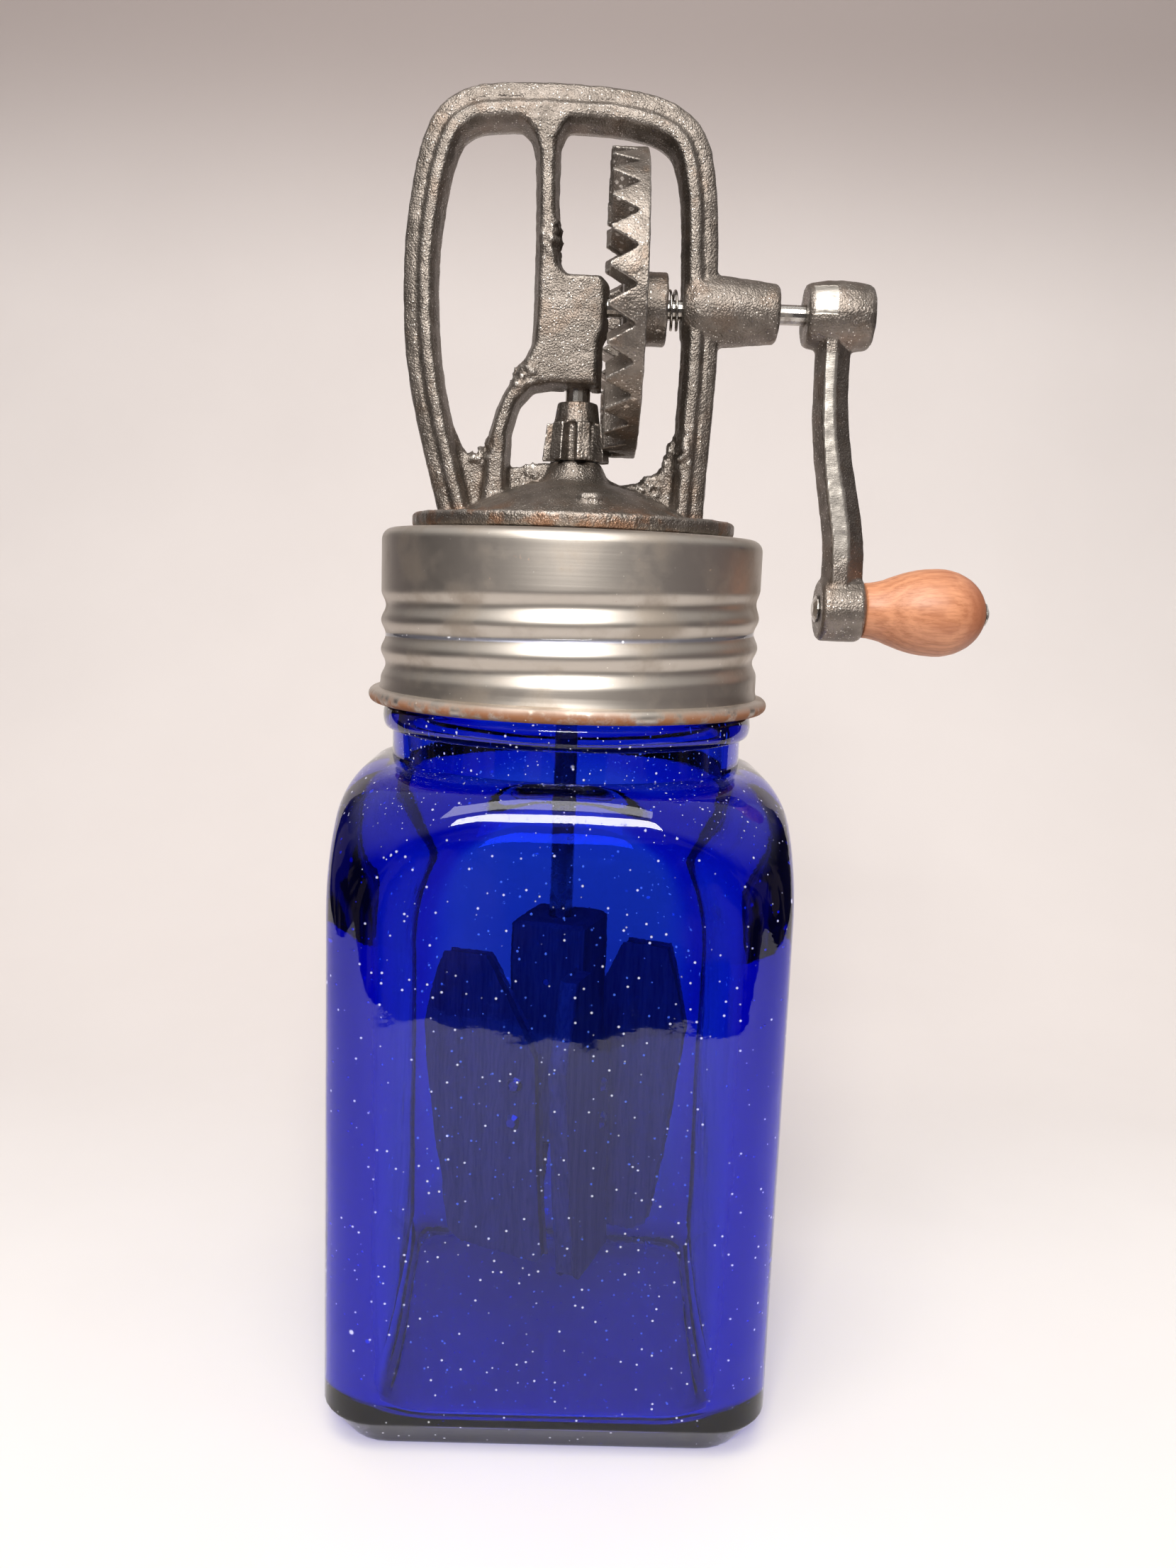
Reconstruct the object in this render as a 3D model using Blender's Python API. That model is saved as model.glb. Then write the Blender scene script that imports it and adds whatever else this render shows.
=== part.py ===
"""Hand cranked butter churn: a square glass jar, a screw cap with an iron gear head, and a wooden dasher.

Metres, +Z up. The origin is the centre of the jar's base, +X points to the crank, and the front is -Y.
The sizes below drive every piece. Sizes that follow from them are worked out in the second list.
"""
import math

import bmesh
import bpy
from mathutils import Matrix, Vector

# Sizes of the glass jar
JAR_HALF_WIDTH = 0.0567
JAR_CORNER_RADIUS = 0.0145
JAR_WALL = 0.0040
JAR_FLOOR = 0.0070
JAR_INSIDE_CORNER = 0.0060
HEEL_HEIGHT = 0.0090
HEEL_INSET = 0.0060
FOOT_ROUNDING = 0.0010
BODY_HEIGHT = 0.1370
CORNER_SHOULDER = 0.0325
FACE_SHOULDER = 0.0125
NECK_HEIGHT = 0.0076
COLLAR_OVERHANG = 0.00255
COLLAR_HEIGHT = 0.0065
COLLAR_CHAMFER = 0.0006
FINISH_INSET = 0.0019
LIP_ROUNDING = 0.0010

# Sizes of the screw cap and its gasket
CAP_RADIUS = 0.0500
CAP_HEIGHT = 0.0448
SHEET = 0.0005
CAP_CORNER = 0.0030
SKIRT_FLARE = 0.0003
BEAD_RADIUS = 0.0019
BEAD_REACH = 0.0012
GASKET_THICKNESS = 0.0015
GASKET_INSET = 0.0004

# Sizes of the cast frame
FLANGE_RADIUS = 0.0423
FLANGE_THICKNESS = 0.0038
FLANGE_ROUNDING = 0.0006
DOME_RADIUS = 0.0310
DOME_HEIGHT = 0.0100
BASE_BOSS_RADIUS = 0.0068
BASE_BOSS_FOOT = 0.0096
SCREW_CIRCLE = 0.0244
FIRST_SCREW_DEG = -81.0
SCREW_COUNT = 3
LUG_LENGTH = 0.0066
LUG_WIDTH = 0.0044
LUG_HEIGHT = 0.0017
ARCH_LEFT_REACH = 0.0455
ARCH_LIMB = 0.0096
ARCH_HALF_DEPTH = 0.0070
ARCH_TOP_DEPTH = 0.0110
PLATE_HALF_DEPTH = 0.0072
PLATE_DRAFT = 0.0013
PLATE_EDGE = 0.0007
WEB_HALF_DEPTH = 0.0016
WEB_DRAFT = 0.0004
WEB_EDGE = 0.0003
POST_X = -0.0088
POST_WIDTH = 0.0066
BLOCK_STAND = 0.0009
BLOCK_STEP = 0.0013
BLOCK_ABOVE_AXIS = 0.0078
LEG_BEND = 0.0030
LEG_FOOT_X = -0.0214
LEG_FOOT_WIDTH = 0.0088
BEARING_LENGTH = 0.0249
BEARING_INNER_RADIUS = 0.0074
BEARING_ROOT_RADIUS = 0.0089
BEARING_END_RADIUS = 0.0075
BEARING_ROUNDING = 0.0008

# Sizes of the gear pair
GEAR_TEETH = 27
GEAR_RADIUS = 0.0374
GEAR_FLOOR = 0.0163
GEAR_ROOM = 0.0041
GEAR_TOOTH_FACE = 0.0082
GEAR_TOOTH_DEPTH = 0.0062
GEAR_RIM_WIDTH = 0.0090
GEAR_BACK_RIM = 0.0008
GEAR_WEB = 0.0030
GEAR_HUB_RADIUS = 0.0091
GEAR_HUB_LENGTH = 0.0066
PINION_TEETH = 7
PINION_RADIUS = 0.0090
PINION_TOP_RADIUS = 0.0080
PINION_ROOT_RADIUS = 0.0053
PINION_FACE = 0.0095
PINION_OVERHANG = 0.0016
PINION_HUB_FOOT = 0.0061
PINION_HUB_TOP = 0.0053
PINION_HUB_LENGTH = 0.0054
TOOTH_ENGAGEMENT = 0.0026
PINION_TIP_HALF_DEG = 12.5
PINION_ROOT_HALF_DEG = 16.0

# Sizes of the shafts, the pins and the spring
SHAFT_RADIUS = 0.003175
CRANK_SHAFT_RADIUS = 0.00255
RUNNING_FIT = 0.00015
SEAT_GAP = 0.0003
SHAFT_SHOW = 0.0028
BEARING_DEPTH = 0.0140
BORE_WALL = 0.0050
PIN_RADIUS = 0.0013
SMALL_PIN_RADIUS = 0.0009
PIN_COVER = 0.0016
PIN_SINK = 0.0004
SPRING_SPACE = 0.0039
SPRING_WIRE = 0.0008
SPRING_RADIUS = 0.0048
SPRING_TURNS = 2.0

# Sizes of the crank and its handle
CRANK_GAP = 0.0070
CRANK_HUB_LENGTH = 0.0172
CRANK_HUB_RADIUS = 0.0089
CRANK_THROW = 0.0748
ARM_HALF_DEPTH = 0.0060
ARM_HALF_WIDTH = 0.0050
ARM_BOSS_RADIUS = 0.0085
ARM_BOSS_LENGTH = 0.0116
ARM_BOSS_SHIFT = 0.0082
ARM_ROUNDING = 0.0009
HANDLE_LENGTH = 0.0326
HANDLE_RADIUS = 0.0117
RIVET_RADIUS = 0.0022
RIVET_HEAD_RADIUS = 0.0031
RIVET_HEAD_HEIGHT = 0.0011
RIVET_TAIL_RADIUS = 0.0036

# Sizes of the dasher
DASHER_CLEARANCE = 0.0240
PADDLE_REACH = 0.0345
PADDLE_LENGTH = 0.0850
PADDLE_THICKNESS = 0.0050
PADDLE_EDGE = 0.0007
BLOCK_HALF = 0.0105
BLOCK_HEIGHT = 0.0630
BLOCK_EDGE = 0.0010
BLOCK_RISE = 0.0095
SHAFT_TAIL = 0.0012
DASHER_PIN_DROP = 0.0160
DASHER_TURN_DEG = -20.0

# Sizes of the small screws
CAP_SCREW_RADIUS = 0.0016
CAP_SCREW_HEAD_RADIUS = 0.0032
CAP_SCREW_HEAD = 0.0017
CAP_SCREW_BITE = 0.0040
PADDLE_SCREW_RADIUS = 0.0011
PADDLE_SCREW_HEAD_RADIUS = 0.0023
PADDLE_SCREW_HEAD = 0.0011
PADDLE_SCREW_BITE = 0.0065

# One overrun serves every cut and every body that runs into the body it is cast with
OVERRUN = 0.0010

# Heights that follow, from the floor up
SHOULDER_TOP = BODY_HEIGHT + CORNER_SHOULDER
COLLAR_BOTTOM = SHOULDER_TOP + NECK_HEIGHT
COLLAR_TOP = COLLAR_BOTTOM + COLLAR_HEIGHT
CAP_BOTTOM = COLLAR_TOP + SEAT_GAP
CAP_TOP = CAP_BOTTOM + CAP_HEIGHT
GASKET_TOP = CAP_TOP - SHEET - SEAT_GAP
GASKET_BOTTOM = GASKET_TOP - GASKET_THICKNESS
LIP_TOP = GASKET_BOTTOM - SEAT_GAP
FLANGE_BOTTOM = CAP_TOP + SEAT_GAP
FLANGE_TOP = FLANGE_BOTTOM + FLANGE_THICKNESS
CRANK_Z = FLANGE_TOP + GEAR_FLOOR + GEAR_RADIUS
PINION_BOTTOM = CRANK_Z - GEAR_RADIUS - PINION_OVERHANG
PINION_TOP = PINION_BOTTOM + PINION_FACE
PINION_HUB_END = PINION_TOP + PINION_HUB_LENGTH
BASE_BOSS_TOP = PINION_BOTTOM - SEAT_GAP
BLOCK_BOTTOM = PINION_HUB_END + SHAFT_SHOW
SHAFT_TOP = CRANK_Z - CRANK_SHAFT_RADIUS - BORE_WALL
ARCH_INNER_TOP = CRANK_Z + GEAR_RADIUS + GEAR_ROOM
ARCH_TOP = ARCH_INNER_TOP + ARCH_TOP_DEPTH
HANDLE_Z = CRANK_Z - CRANK_THROW
PADDLE_BOTTOM = JAR_FLOOR + DASHER_CLEARANCE
PADDLE_TOP = PADDLE_BOTTOM + PADDLE_LENGTH
BLOCK_TOP = PADDLE_TOP + BLOCK_RISE
BLOCK_FOOT = BLOCK_TOP - BLOCK_HEIGHT
SHAFT_BOTTOM = BLOCK_FOOT - SHAFT_TAIL

# Radii that follow, from the cap inwards
CAP_INSIDE = CAP_RADIUS - SHEET
BEAD_CENTRE = CAP_RADIUS + BEAD_REACH
FINISH_RADIUS = CAP_INSIDE - FINISH_INSET
COLLAR_RADIUS = CAP_INSIDE - SEAT_GAP
NECK_RADIUS = COLLAR_RADIUS - COLLAR_OVERHANG
MOUTH_RADIUS = NECK_RADIUS - JAR_WALL

# Places that follow along the crank's axis
GEAR_TIP_X = PINION_RADIUS - TOOTH_ENGAGEMENT
GEAR_BACK_X = GEAR_TIP_X + GEAR_RIM_WIDTH
GEAR_WEB_BACK_X = GEAR_BACK_X - GEAR_BACK_RIM
GEAR_WEB_X = GEAR_WEB_BACK_X - GEAR_WEB
GEAR_HUB_END_X = GEAR_BACK_X + GEAR_HUB_LENGTH
BEARING_X = GEAR_HUB_END_X + SPRING_SPACE
ARCH_RIGHT_REACH = BEARING_X + ARCH_LIMB + SEAT_GAP
BEARING_END_X = BEARING_X + BEARING_LENGTH
CRANK_HUB_X = BEARING_END_X + CRANK_GAP
CRANK_HUB_END_X = CRANK_HUB_X + CRANK_HUB_LENGTH
ARM_BOSS_X = CRANK_HUB_X + ARM_BOSS_SHIFT
ARM_BOSS_END_X = ARM_BOSS_X + ARM_BOSS_LENGTH
HANDLE_X = ARM_BOSS_END_X + SEAT_GAP
HANDLE_END_X = HANDLE_X + HANDLE_LENGTH
BLOCK_FACE_X = GEAR_TIP_X + BLOCK_STAND
CRANK_BORE_END_X = BLOCK_FACE_X - BEARING_DEPTH

# Colour, roughness and metallic value of each finish
FINISHES = {
    "cobalt_glass": ((0.02, 0.04, 0.50), 0.05, 0.0),
    "tinned_steel": ((0.55, 0.52, 0.48), 0.35, 1.0),
    "grey_rubber": ((0.25, 0.22, 0.20), 0.80, 0.0),
    "cast_iron": ((0.27, 0.24, 0.21), 0.45, 1.0),
    "bright_steel": ((0.60, 0.58, 0.55), 0.30, 1.0),
    "turned_wood": ((0.55, 0.27, 0.13), 0.50, 0.0),
    "dasher_wood": ((0.42, 0.28, 0.16), 0.75, 0.0),
}

X_AXIS = Matrix.Rotation(math.radians(90.0), 4, "Y")
FULL_TURN = 2.0 * math.pi


def clear_scene():
    for old in list(bpy.data.objects):
        bpy.data.objects.remove(old, do_unlink=True)


def finish_named(name):
    colour, roughness, metallic = FINISHES[name]
    material = bpy.data.materials.get(name) or bpy.data.materials.new(name)
    material.use_nodes = True
    shader = material.node_tree.nodes["Principled BSDF"]
    shader.inputs["Base Color"].default_value = (*colour, 1.0)
    shader.inputs["Roughness"].default_value = roughness
    shader.inputs["Metallic"].default_value = metallic
    return material


def add_axis(name, place):
    """An empty on a joint's axis, which carries the pieces that turn or slide there."""
    axis = bpy.data.objects.new(name, None)
    axis.location = place
    bpy.context.scene.collection.objects.link(axis)
    return axis


def add_solid(name, bm, carrier, finish, smooth_deg=35.0):
    """Turn a bmesh in its carrier's own frame into a named object."""
    bmesh.ops.recalc_face_normals(bm, faces=bm.faces)
    mesh = bpy.data.meshes.new(name)
    bm.to_mesh(mesh)
    bm.free()
    mesh.shade_smooth()
    mesh.set_sharp_from_angle(angle=math.radians(smooth_deg))
    mesh.materials.append(finish_named(finish))
    solid = bpy.data.objects.new(name, mesh)
    solid.parent = carrier
    bpy.context.scene.collection.objects.link(solid)
    return solid


def combine(target, tool, operation):
    """Join a hidden tool body to the target, or cut it away."""
    tool.parent = target.parent
    tool.hide_render = True
    tool.display_type = "WIRE"
    change = target.modifiers.new(tool.name, "BOOLEAN")
    change.object = tool
    change.operation = operation
    change.solver = "EXACT"
    return target


def ring_loft(rings, closed=False):
    """Skin a row of rings, where one ring may have a multiple of the next one's points.

    An open skin is capped at both ends.
    """
    bm = bmesh.new()
    loops = [[bm.verts.new(point) for point in ring] for ring in rings]
    pairs = list(zip(loops, loops[1:]))
    if closed:
        pairs.append((loops[-1], loops[0]))
    for low, high in pairs:
        count = min(len(low), len(high))
        low_step = len(low) // count
        high_step = len(high) // count
        for k in range(count):
            near = [low[(k * low_step + j) % len(low)] for j in range(low_step + 1)]
            far = [high[(k * high_step + j) % len(high)] for j in range(high_step + 1)]
            bm.faces.new(near + far[::-1])
    if not closed:
        bm.faces.new(loops[0])
        bm.faces.new(loops[-1])
    return bm


def circle(radius, z, steps):
    turns = [FULL_TURN * k / steps for k in range(steps)]
    return [(radius * math.cos(turn), radius * math.sin(turn), z) for turn in turns]


def turned(profile, steps, closed=False):
    """Spin a profile of (radius, height) about Z. A closed profile leaves a bore, an open one flat ends."""
    return ring_loft([circle(radius, z, steps) for radius, z in profile], closed)


def along_x(bm, x=0.0):
    """Lay a body turned about Z along +X, its zero height at x."""
    bmesh.ops.transform(bm, matrix=Matrix.Translation((x, 0.0, 0.0)) @ X_AXIS, verts=bm.verts)
    return bm


def offset_outline(outline, inset):
    """Move a closed outline inwards. Its points run anticlockwise."""
    moved = []
    count = len(outline)
    for k in range(count):
        here = Vector(outline[k])
        before = (here - Vector(outline[k - 1])).normalized()
        after = (Vector(outline[(k + 1) % count]) - here).normalized()
        middle = Vector((-before.y - after.y, before.x + after.x)).normalized()
        slant = middle.dot(Vector((-before.y, before.x)))
        moved.append(here + middle * (inset / max(slant, 0.5)))
    return moved


def cast_plate(outline, half_depth, draft, edge):
    """A plate in the XZ plane, widest at its parting plane y = 0, with eased edges."""
    layers = (
        (-half_depth, draft + edge),
        (edge - half_depth, draft),
        (0.0, 0.0),
        (half_depth - edge, draft),
        (half_depth, draft + edge),
    )
    rings = []
    for y, inset in layers:
        rings.append([(p[0], y, p[1]) for p in offset_outline(outline, inset)])
    return ring_loft(rings)


def smooth_path(points, steps):
    """Catmull-Rom points through a row of tuples of any length."""
    row = [points[0]] + list(points) + [points[-1]]
    path = []
    for a, b, c, d in zip(row, row[1:], row[2:], row[3:]):
        for step in range(steps):
            t = step / steps
            path.append(tuple(
                0.5 * (2 * q + (r - p) * t + (2 * p - 5 * q + 4 * r - s) * t * t
                       + (3 * q - p - 3 * r + s) * t ** 3)
                for p, q, r, s in zip(a, b, c, d)))
    path.append(tuple(points[-1]))
    return path


def rod(radius, start, end, steps=16):
    """A plain rod along Z from start to end."""
    return turned([(radius, start), (radius, end)], steps)


def rod_across(radius, x, z, start, end, steps=12):
    """A plain rod along Y at (x, z), from y = start to y = end."""
    bm = rod(radius, start, end, steps)
    turn = Matrix.Translation((x, 0.0, z)) @ Matrix.Rotation(math.radians(-90.0), 4, "X")
    bmesh.ops.transform(bm, matrix=turn, verts=bm.verts)
    return bm


def quarter_rise(share):
    """Width left at a share of the height of a quarter-round shoulder."""
    return math.sqrt(max(0.0, 1.0 - share * share))


# The glass jar
OCTANT_DEG = (0.0, 12.5, 25.0, 36.5, 41.0)
QUADRANT_DEG = OCTANT_DEG + (45.0,) + tuple(90.0 - a for a in reversed(OCTANT_DEG[1:]))
JAR_ANGLES = [math.radians(90.0 * quarter + a) for quarter in range(4) for a in QUADRANT_DEG]
SHOULDER_DEG = (0.0, 22.0, 40.0, 55.0, 68.0, 79.0, 90.0)


def squared_ring(half, corner, z):
    """A ring that is a square with round corners, or a circle when the corner equals the half width."""
    flat = half - corner
    ring = []
    for angle in JAR_ANGLES:
        within = angle % (0.5 * math.pi)
        c = math.cos(within)
        s = math.sin(within)
        if flat * max(c, s) >= half * min(c, s):
            reach = half / max(c, s)
        else:
            lean = flat * (c + s)
            reach = lean + math.sqrt(max(0.0, lean * lean - 2.0 * flat * flat + corner * corner))
        ring.append((reach * math.cos(angle), reach * math.sin(angle), z))
    return ring


def shoulder_rings(half, corner, neck, top, corner_rise, face_rise):
    """Rings that draw a square body in to a round neck: its corners start first, its faces last."""
    root2 = math.sqrt(2.0)
    diagonal = (half - corner) * root2 + corner
    rings = []
    for degrees in SHOULDER_DEG:
        z = top - corner_rise * (1.0 - math.sin(math.radians(degrees)))
        corner_share = 1.0 - (top - z) / corner_rise
        face_share = max(0.0, 1.0 - (top - z) / face_rise)
        reach = neck + (diagonal - neck) * quarter_rise(corner_share)
        face = neck + (half - neck) * quarter_rise(face_share)
        radius = (root2 * face - reach) / (root2 - 1.0)
        rings.append(squared_ring(face, min(face, radius), z))
    return rings


def round_ring(radius, z):
    return squared_ring(radius, radius, z)


def make_glass_jar(carrier):
    half = JAR_HALF_WIDTH
    corner = JAR_CORNER_RADIUS
    foot = half - HEEL_INSET
    foot_corner = corner - 0.5 * HEEL_INSET
    outside = [
        squared_ring(foot - FOOT_ROUNDING, foot_corner, 0.0),
        squared_ring(foot, foot_corner, FOOT_ROUNDING),
        squared_ring(half - 0.3 * HEEL_INSET, corner, 0.6 * HEEL_HEIGHT),
        squared_ring(half, corner, HEEL_HEIGHT),
    ]
    outside += shoulder_rings(half, corner, NECK_RADIUS, SHOULDER_TOP, CORNER_SHOULDER, FACE_SHOULDER)
    outside += [
        round_ring(NECK_RADIUS, COLLAR_BOTTOM),
        round_ring(COLLAR_RADIUS, COLLAR_BOTTOM + COLLAR_CHAMFER),
        round_ring(COLLAR_RADIUS, COLLAR_TOP - COLLAR_CHAMFER),
        round_ring(COLLAR_RADIUS - COLLAR_CHAMFER, COLLAR_TOP),
        round_ring(FINISH_RADIUS, COLLAR_TOP),
        round_ring(FINISH_RADIUS, LIP_TOP - LIP_ROUNDING),
        round_ring(FINISH_RADIUS - LIP_ROUNDING, LIP_TOP),
    ]
    room = half - JAR_WALL
    room_corner = corner - 0.5 * JAR_WALL
    inside = [
        squared_ring(room - JAR_INSIDE_CORNER, room_corner, JAR_FLOOR),
        squared_ring(room - 0.3 * JAR_INSIDE_CORNER, room_corner, JAR_FLOOR + 0.3 * JAR_INSIDE_CORNER),
        squared_ring(room, room_corner, JAR_FLOOR + JAR_INSIDE_CORNER),
    ]
    inside += shoulder_rings(room, room_corner, MOUTH_RADIUS, SHOULDER_TOP - JAR_WALL,
                             CORNER_SHOULDER, FACE_SHOULDER)
    inside += [
        round_ring(MOUTH_RADIUS, LIP_TOP - LIP_ROUNDING),
        round_ring(MOUTH_RADIUS + LIP_ROUNDING, LIP_TOP),
    ]
    add_solid("glass_jar", ring_loft(outside + inside[::-1]), carrier, "cobalt_glass")


# The screw cap
CAP_STEPS = 40
HOLE_STEPS = 10
BEAD_DEG = (60.0, 20.0, -20.0, -60.0, -100.0, -140.0, -180.0)
CORNER_shares = (0.0, 0.4, 0.75, 1.0)


def cap_ring(radius, z, steps=CAP_STEPS):
    """A ring of the cap, its height taken from the rim."""
    return circle(radius, z - CAP_HEIGHT, steps)


def make_screw_cap(carrier):
    """One sheet: flat top, rounded corner, wall with a slight flare, and the curled rim."""
    hole = SHAFT_RADIUS + SEAT_GAP + RUNNING_FIT
    flare_top = 2.0 * BEAD_RADIUS + CAP_CORNER
    rings = [cap_ring(hole, CAP_HEIGHT, HOLE_STEPS)]
    for share in CORNER_shares:
        turn = 0.5 * math.pi * share
        rings.append(cap_ring(CAP_RADIUS - CAP_CORNER * (1.0 - math.sin(turn)),
                              CAP_HEIGHT - CAP_CORNER * (1.0 - math.cos(turn))))
    rings.append(cap_ring(CAP_RADIUS, flare_top))
    rings.append(cap_ring(CAP_RADIUS + SKIRT_FLARE, 2.0 * BEAD_RADIUS))
    for degrees in BEAD_DEG:
        turn = math.radians(degrees)
        rings.append(cap_ring(BEAD_CENTRE + BEAD_RADIUS * math.cos(turn),
                              BEAD_RADIUS * (1.0 + math.sin(turn))))
    rings.append(cap_ring(CAP_INSIDE + SKIRT_FLARE, 2.0 * BEAD_RADIUS))
    rings.append(cap_ring(CAP_INSIDE, flare_top))
    inner_corner = CAP_CORNER - SHEET
    for share in reversed(CORNER_shares):
        turn = 0.5 * math.pi * share
        rings.append(cap_ring(CAP_INSIDE - inner_corner * (1.0 - math.sin(turn)),
                              CAP_HEIGHT - SHEET - inner_corner * (1.0 - math.cos(turn))))
    rings.append(cap_ring(hole, CAP_HEIGHT - SHEET, HOLE_STEPS))
    cap = add_solid("screw_cap", ring_loft(rings, closed=True), carrier, "tinned_steel")
    for angle in screw_angles():
        tool = rod(CAP_SCREW_RADIUS + SEAT_GAP, -SHEET - OVERRUN, OVERRUN, 12)
        bmesh.ops.translate(tool, verts=tool.verts, vec=screw_place(angle))
        combine(cap, add_solid("cap_screw_tool", tool, carrier, "cast_iron"), "DIFFERENCE")
    return cap


def screw_angles():
    return [math.radians(FIRST_SCREW_DEG) + FULL_TURN * k / SCREW_COUNT for k in range(SCREW_COUNT)]


def screw_place(angle):
    return Vector((SCREW_CIRCLE * math.cos(angle), SCREW_CIRCLE * math.sin(angle), 0.0))


def make_cap_gasket(carrier):
    """The flat sealing ring, in the frame of its own underside."""
    outer = CAP_RADIUS - CAP_CORNER - GASKET_INSET
    inner = MOUTH_RADIUS + GASKET_INSET
    profile = [(inner, 0.0), (outer, 0.0), (outer, GASKET_THICKNESS), (inner, GASKET_THICKNESS)]
    return add_solid("cap_gasket", turned(profile, CAP_STEPS, closed=True), carrier, "grey_rubber")


def make_cap_screw(name, angle, carrier):
    """A slotted screw from below, through the cap's top and into the frame's flange."""
    head_top = -SHEET - SEAT_GAP
    head_bottom = head_top - CAP_SCREW_HEAD
    tip = SEAT_GAP + FLANGE_THICKNESS + CAP_SCREW_BITE - SEAT_GAP
    profile = [
        (0.6 * CAP_SCREW_HEAD_RADIUS, head_bottom),
        (CAP_SCREW_HEAD_RADIUS, head_bottom + 0.5 * CAP_SCREW_HEAD),
        (CAP_SCREW_HEAD_RADIUS, head_top),
        (CAP_SCREW_RADIUS, head_top),
        (CAP_SCREW_RADIUS, tip - CAP_SCREW_RADIUS),
        (0.4 * CAP_SCREW_RADIUS, tip),
    ]
    bm = turned(profile, 12)
    bmesh.ops.translate(bm, verts=bm.verts, vec=screw_place(angle))
    return add_solid(name, bm, carrier, "bright_steel")


# The cast frame, in the frame of the cap's top. Heights there are taken from the cap's top.
def above_cap(z):
    return z - CAP_TOP


# Left limb, crown and right limb: share of the reach to that side, share of the height below or above
# the crank's axis, and the limb's width as a share of its usual width
ARCH_BELOW_LEFT_shares = (
    (0.775, -0.03, 0.95), (0.862, 0.245, 0.95), (0.954, 0.574, 0.96), (0.995, 0.85, 0.96),
)
ARCH_ABOVE_shares = (
    (-1.0, 0.16, 0.95), (-0.985, 0.36, 0.97), (-0.938, 0.62, 1.0), (-0.862, 0.815, 1.04),
    (-0.75, 0.918, 1.08), (-0.59, 0.98, 1.12), (-0.264, 1.0, 1.14), (0.141, 0.992, 1.1),
    (0.43, 0.968, 1.1), (0.63, 0.925, 1.1), (0.785, 0.85, 1.08), (0.89, 0.725, 1.05),
    (0.951, 0.49, 1.0), (0.976, 0.18, 1.0),
)
ARCH_BELOW_RIGHT_shares = ((1.0, 0.8, 1.0), (0.985, 0.5, 1.0), (0.965, 0.25, 0.95), (0.95, -0.03, 0.95))

# Section of the arch: share of the limb's width inwards, and share of the half depth
LIMB_shares = (
    (0.0, 0.0), (0.06, 0.66), (0.34, 0.80), (0.43, 0.74), (0.54, 0.98), (0.80, 1.0), (0.92, 0.62),
    (1.0, 0.0),
)


def arch_path():
    rise = ARCH_TOP - CRANK_Z
    fall = CRANK_Z - FLANGE_TOP
    points = []
    for x, z, wide in ARCH_BELOW_LEFT_shares:
        points.append((-x * ARCH_LEFT_REACH, FLANGE_TOP + z * fall, wide * ARCH_LIMB))
    for x, z, wide in ARCH_ABOVE_shares:
        reach = ARCH_LEFT_REACH if x < 0.0 else ARCH_RIGHT_REACH
        points.append((x * reach, CRANK_Z + z * rise, wide * ARCH_LIMB))
    for x, z, wide in ARCH_BELOW_RIGHT_shares:
        points.append((x * ARCH_RIGHT_REACH, FLANGE_TOP + z * fall, wide * ARCH_LIMB))
    return smooth_path(points, 2)


def make_arch(carrier):
    """Sweep the limb's section round the loop, from the left foot over the crown to the right foot."""
    path = arch_path()
    half = list(LIMB_shares)
    section = half + [(u, -v) for u, v in reversed(half[1:-1])]
    rings = []
    for k, (x, z, wide) in enumerate(path):
        before = path[max(0, k - 1)]
        after = path[min(len(path) - 1, k + 1)]
        along = Vector((after[0] - before[0], after[1] - before[1])).normalized()
        inward = Vector((along.y, -along.x))
        rings.append([(x + inward.x * u * wide, -v * ARCH_HALF_DEPTH, above_cap(z + inward.y * u * wide))
                      for u, v in section])
    return add_solid("arch_tool", ring_loft(rings), carrier, "cast_iron")


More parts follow.
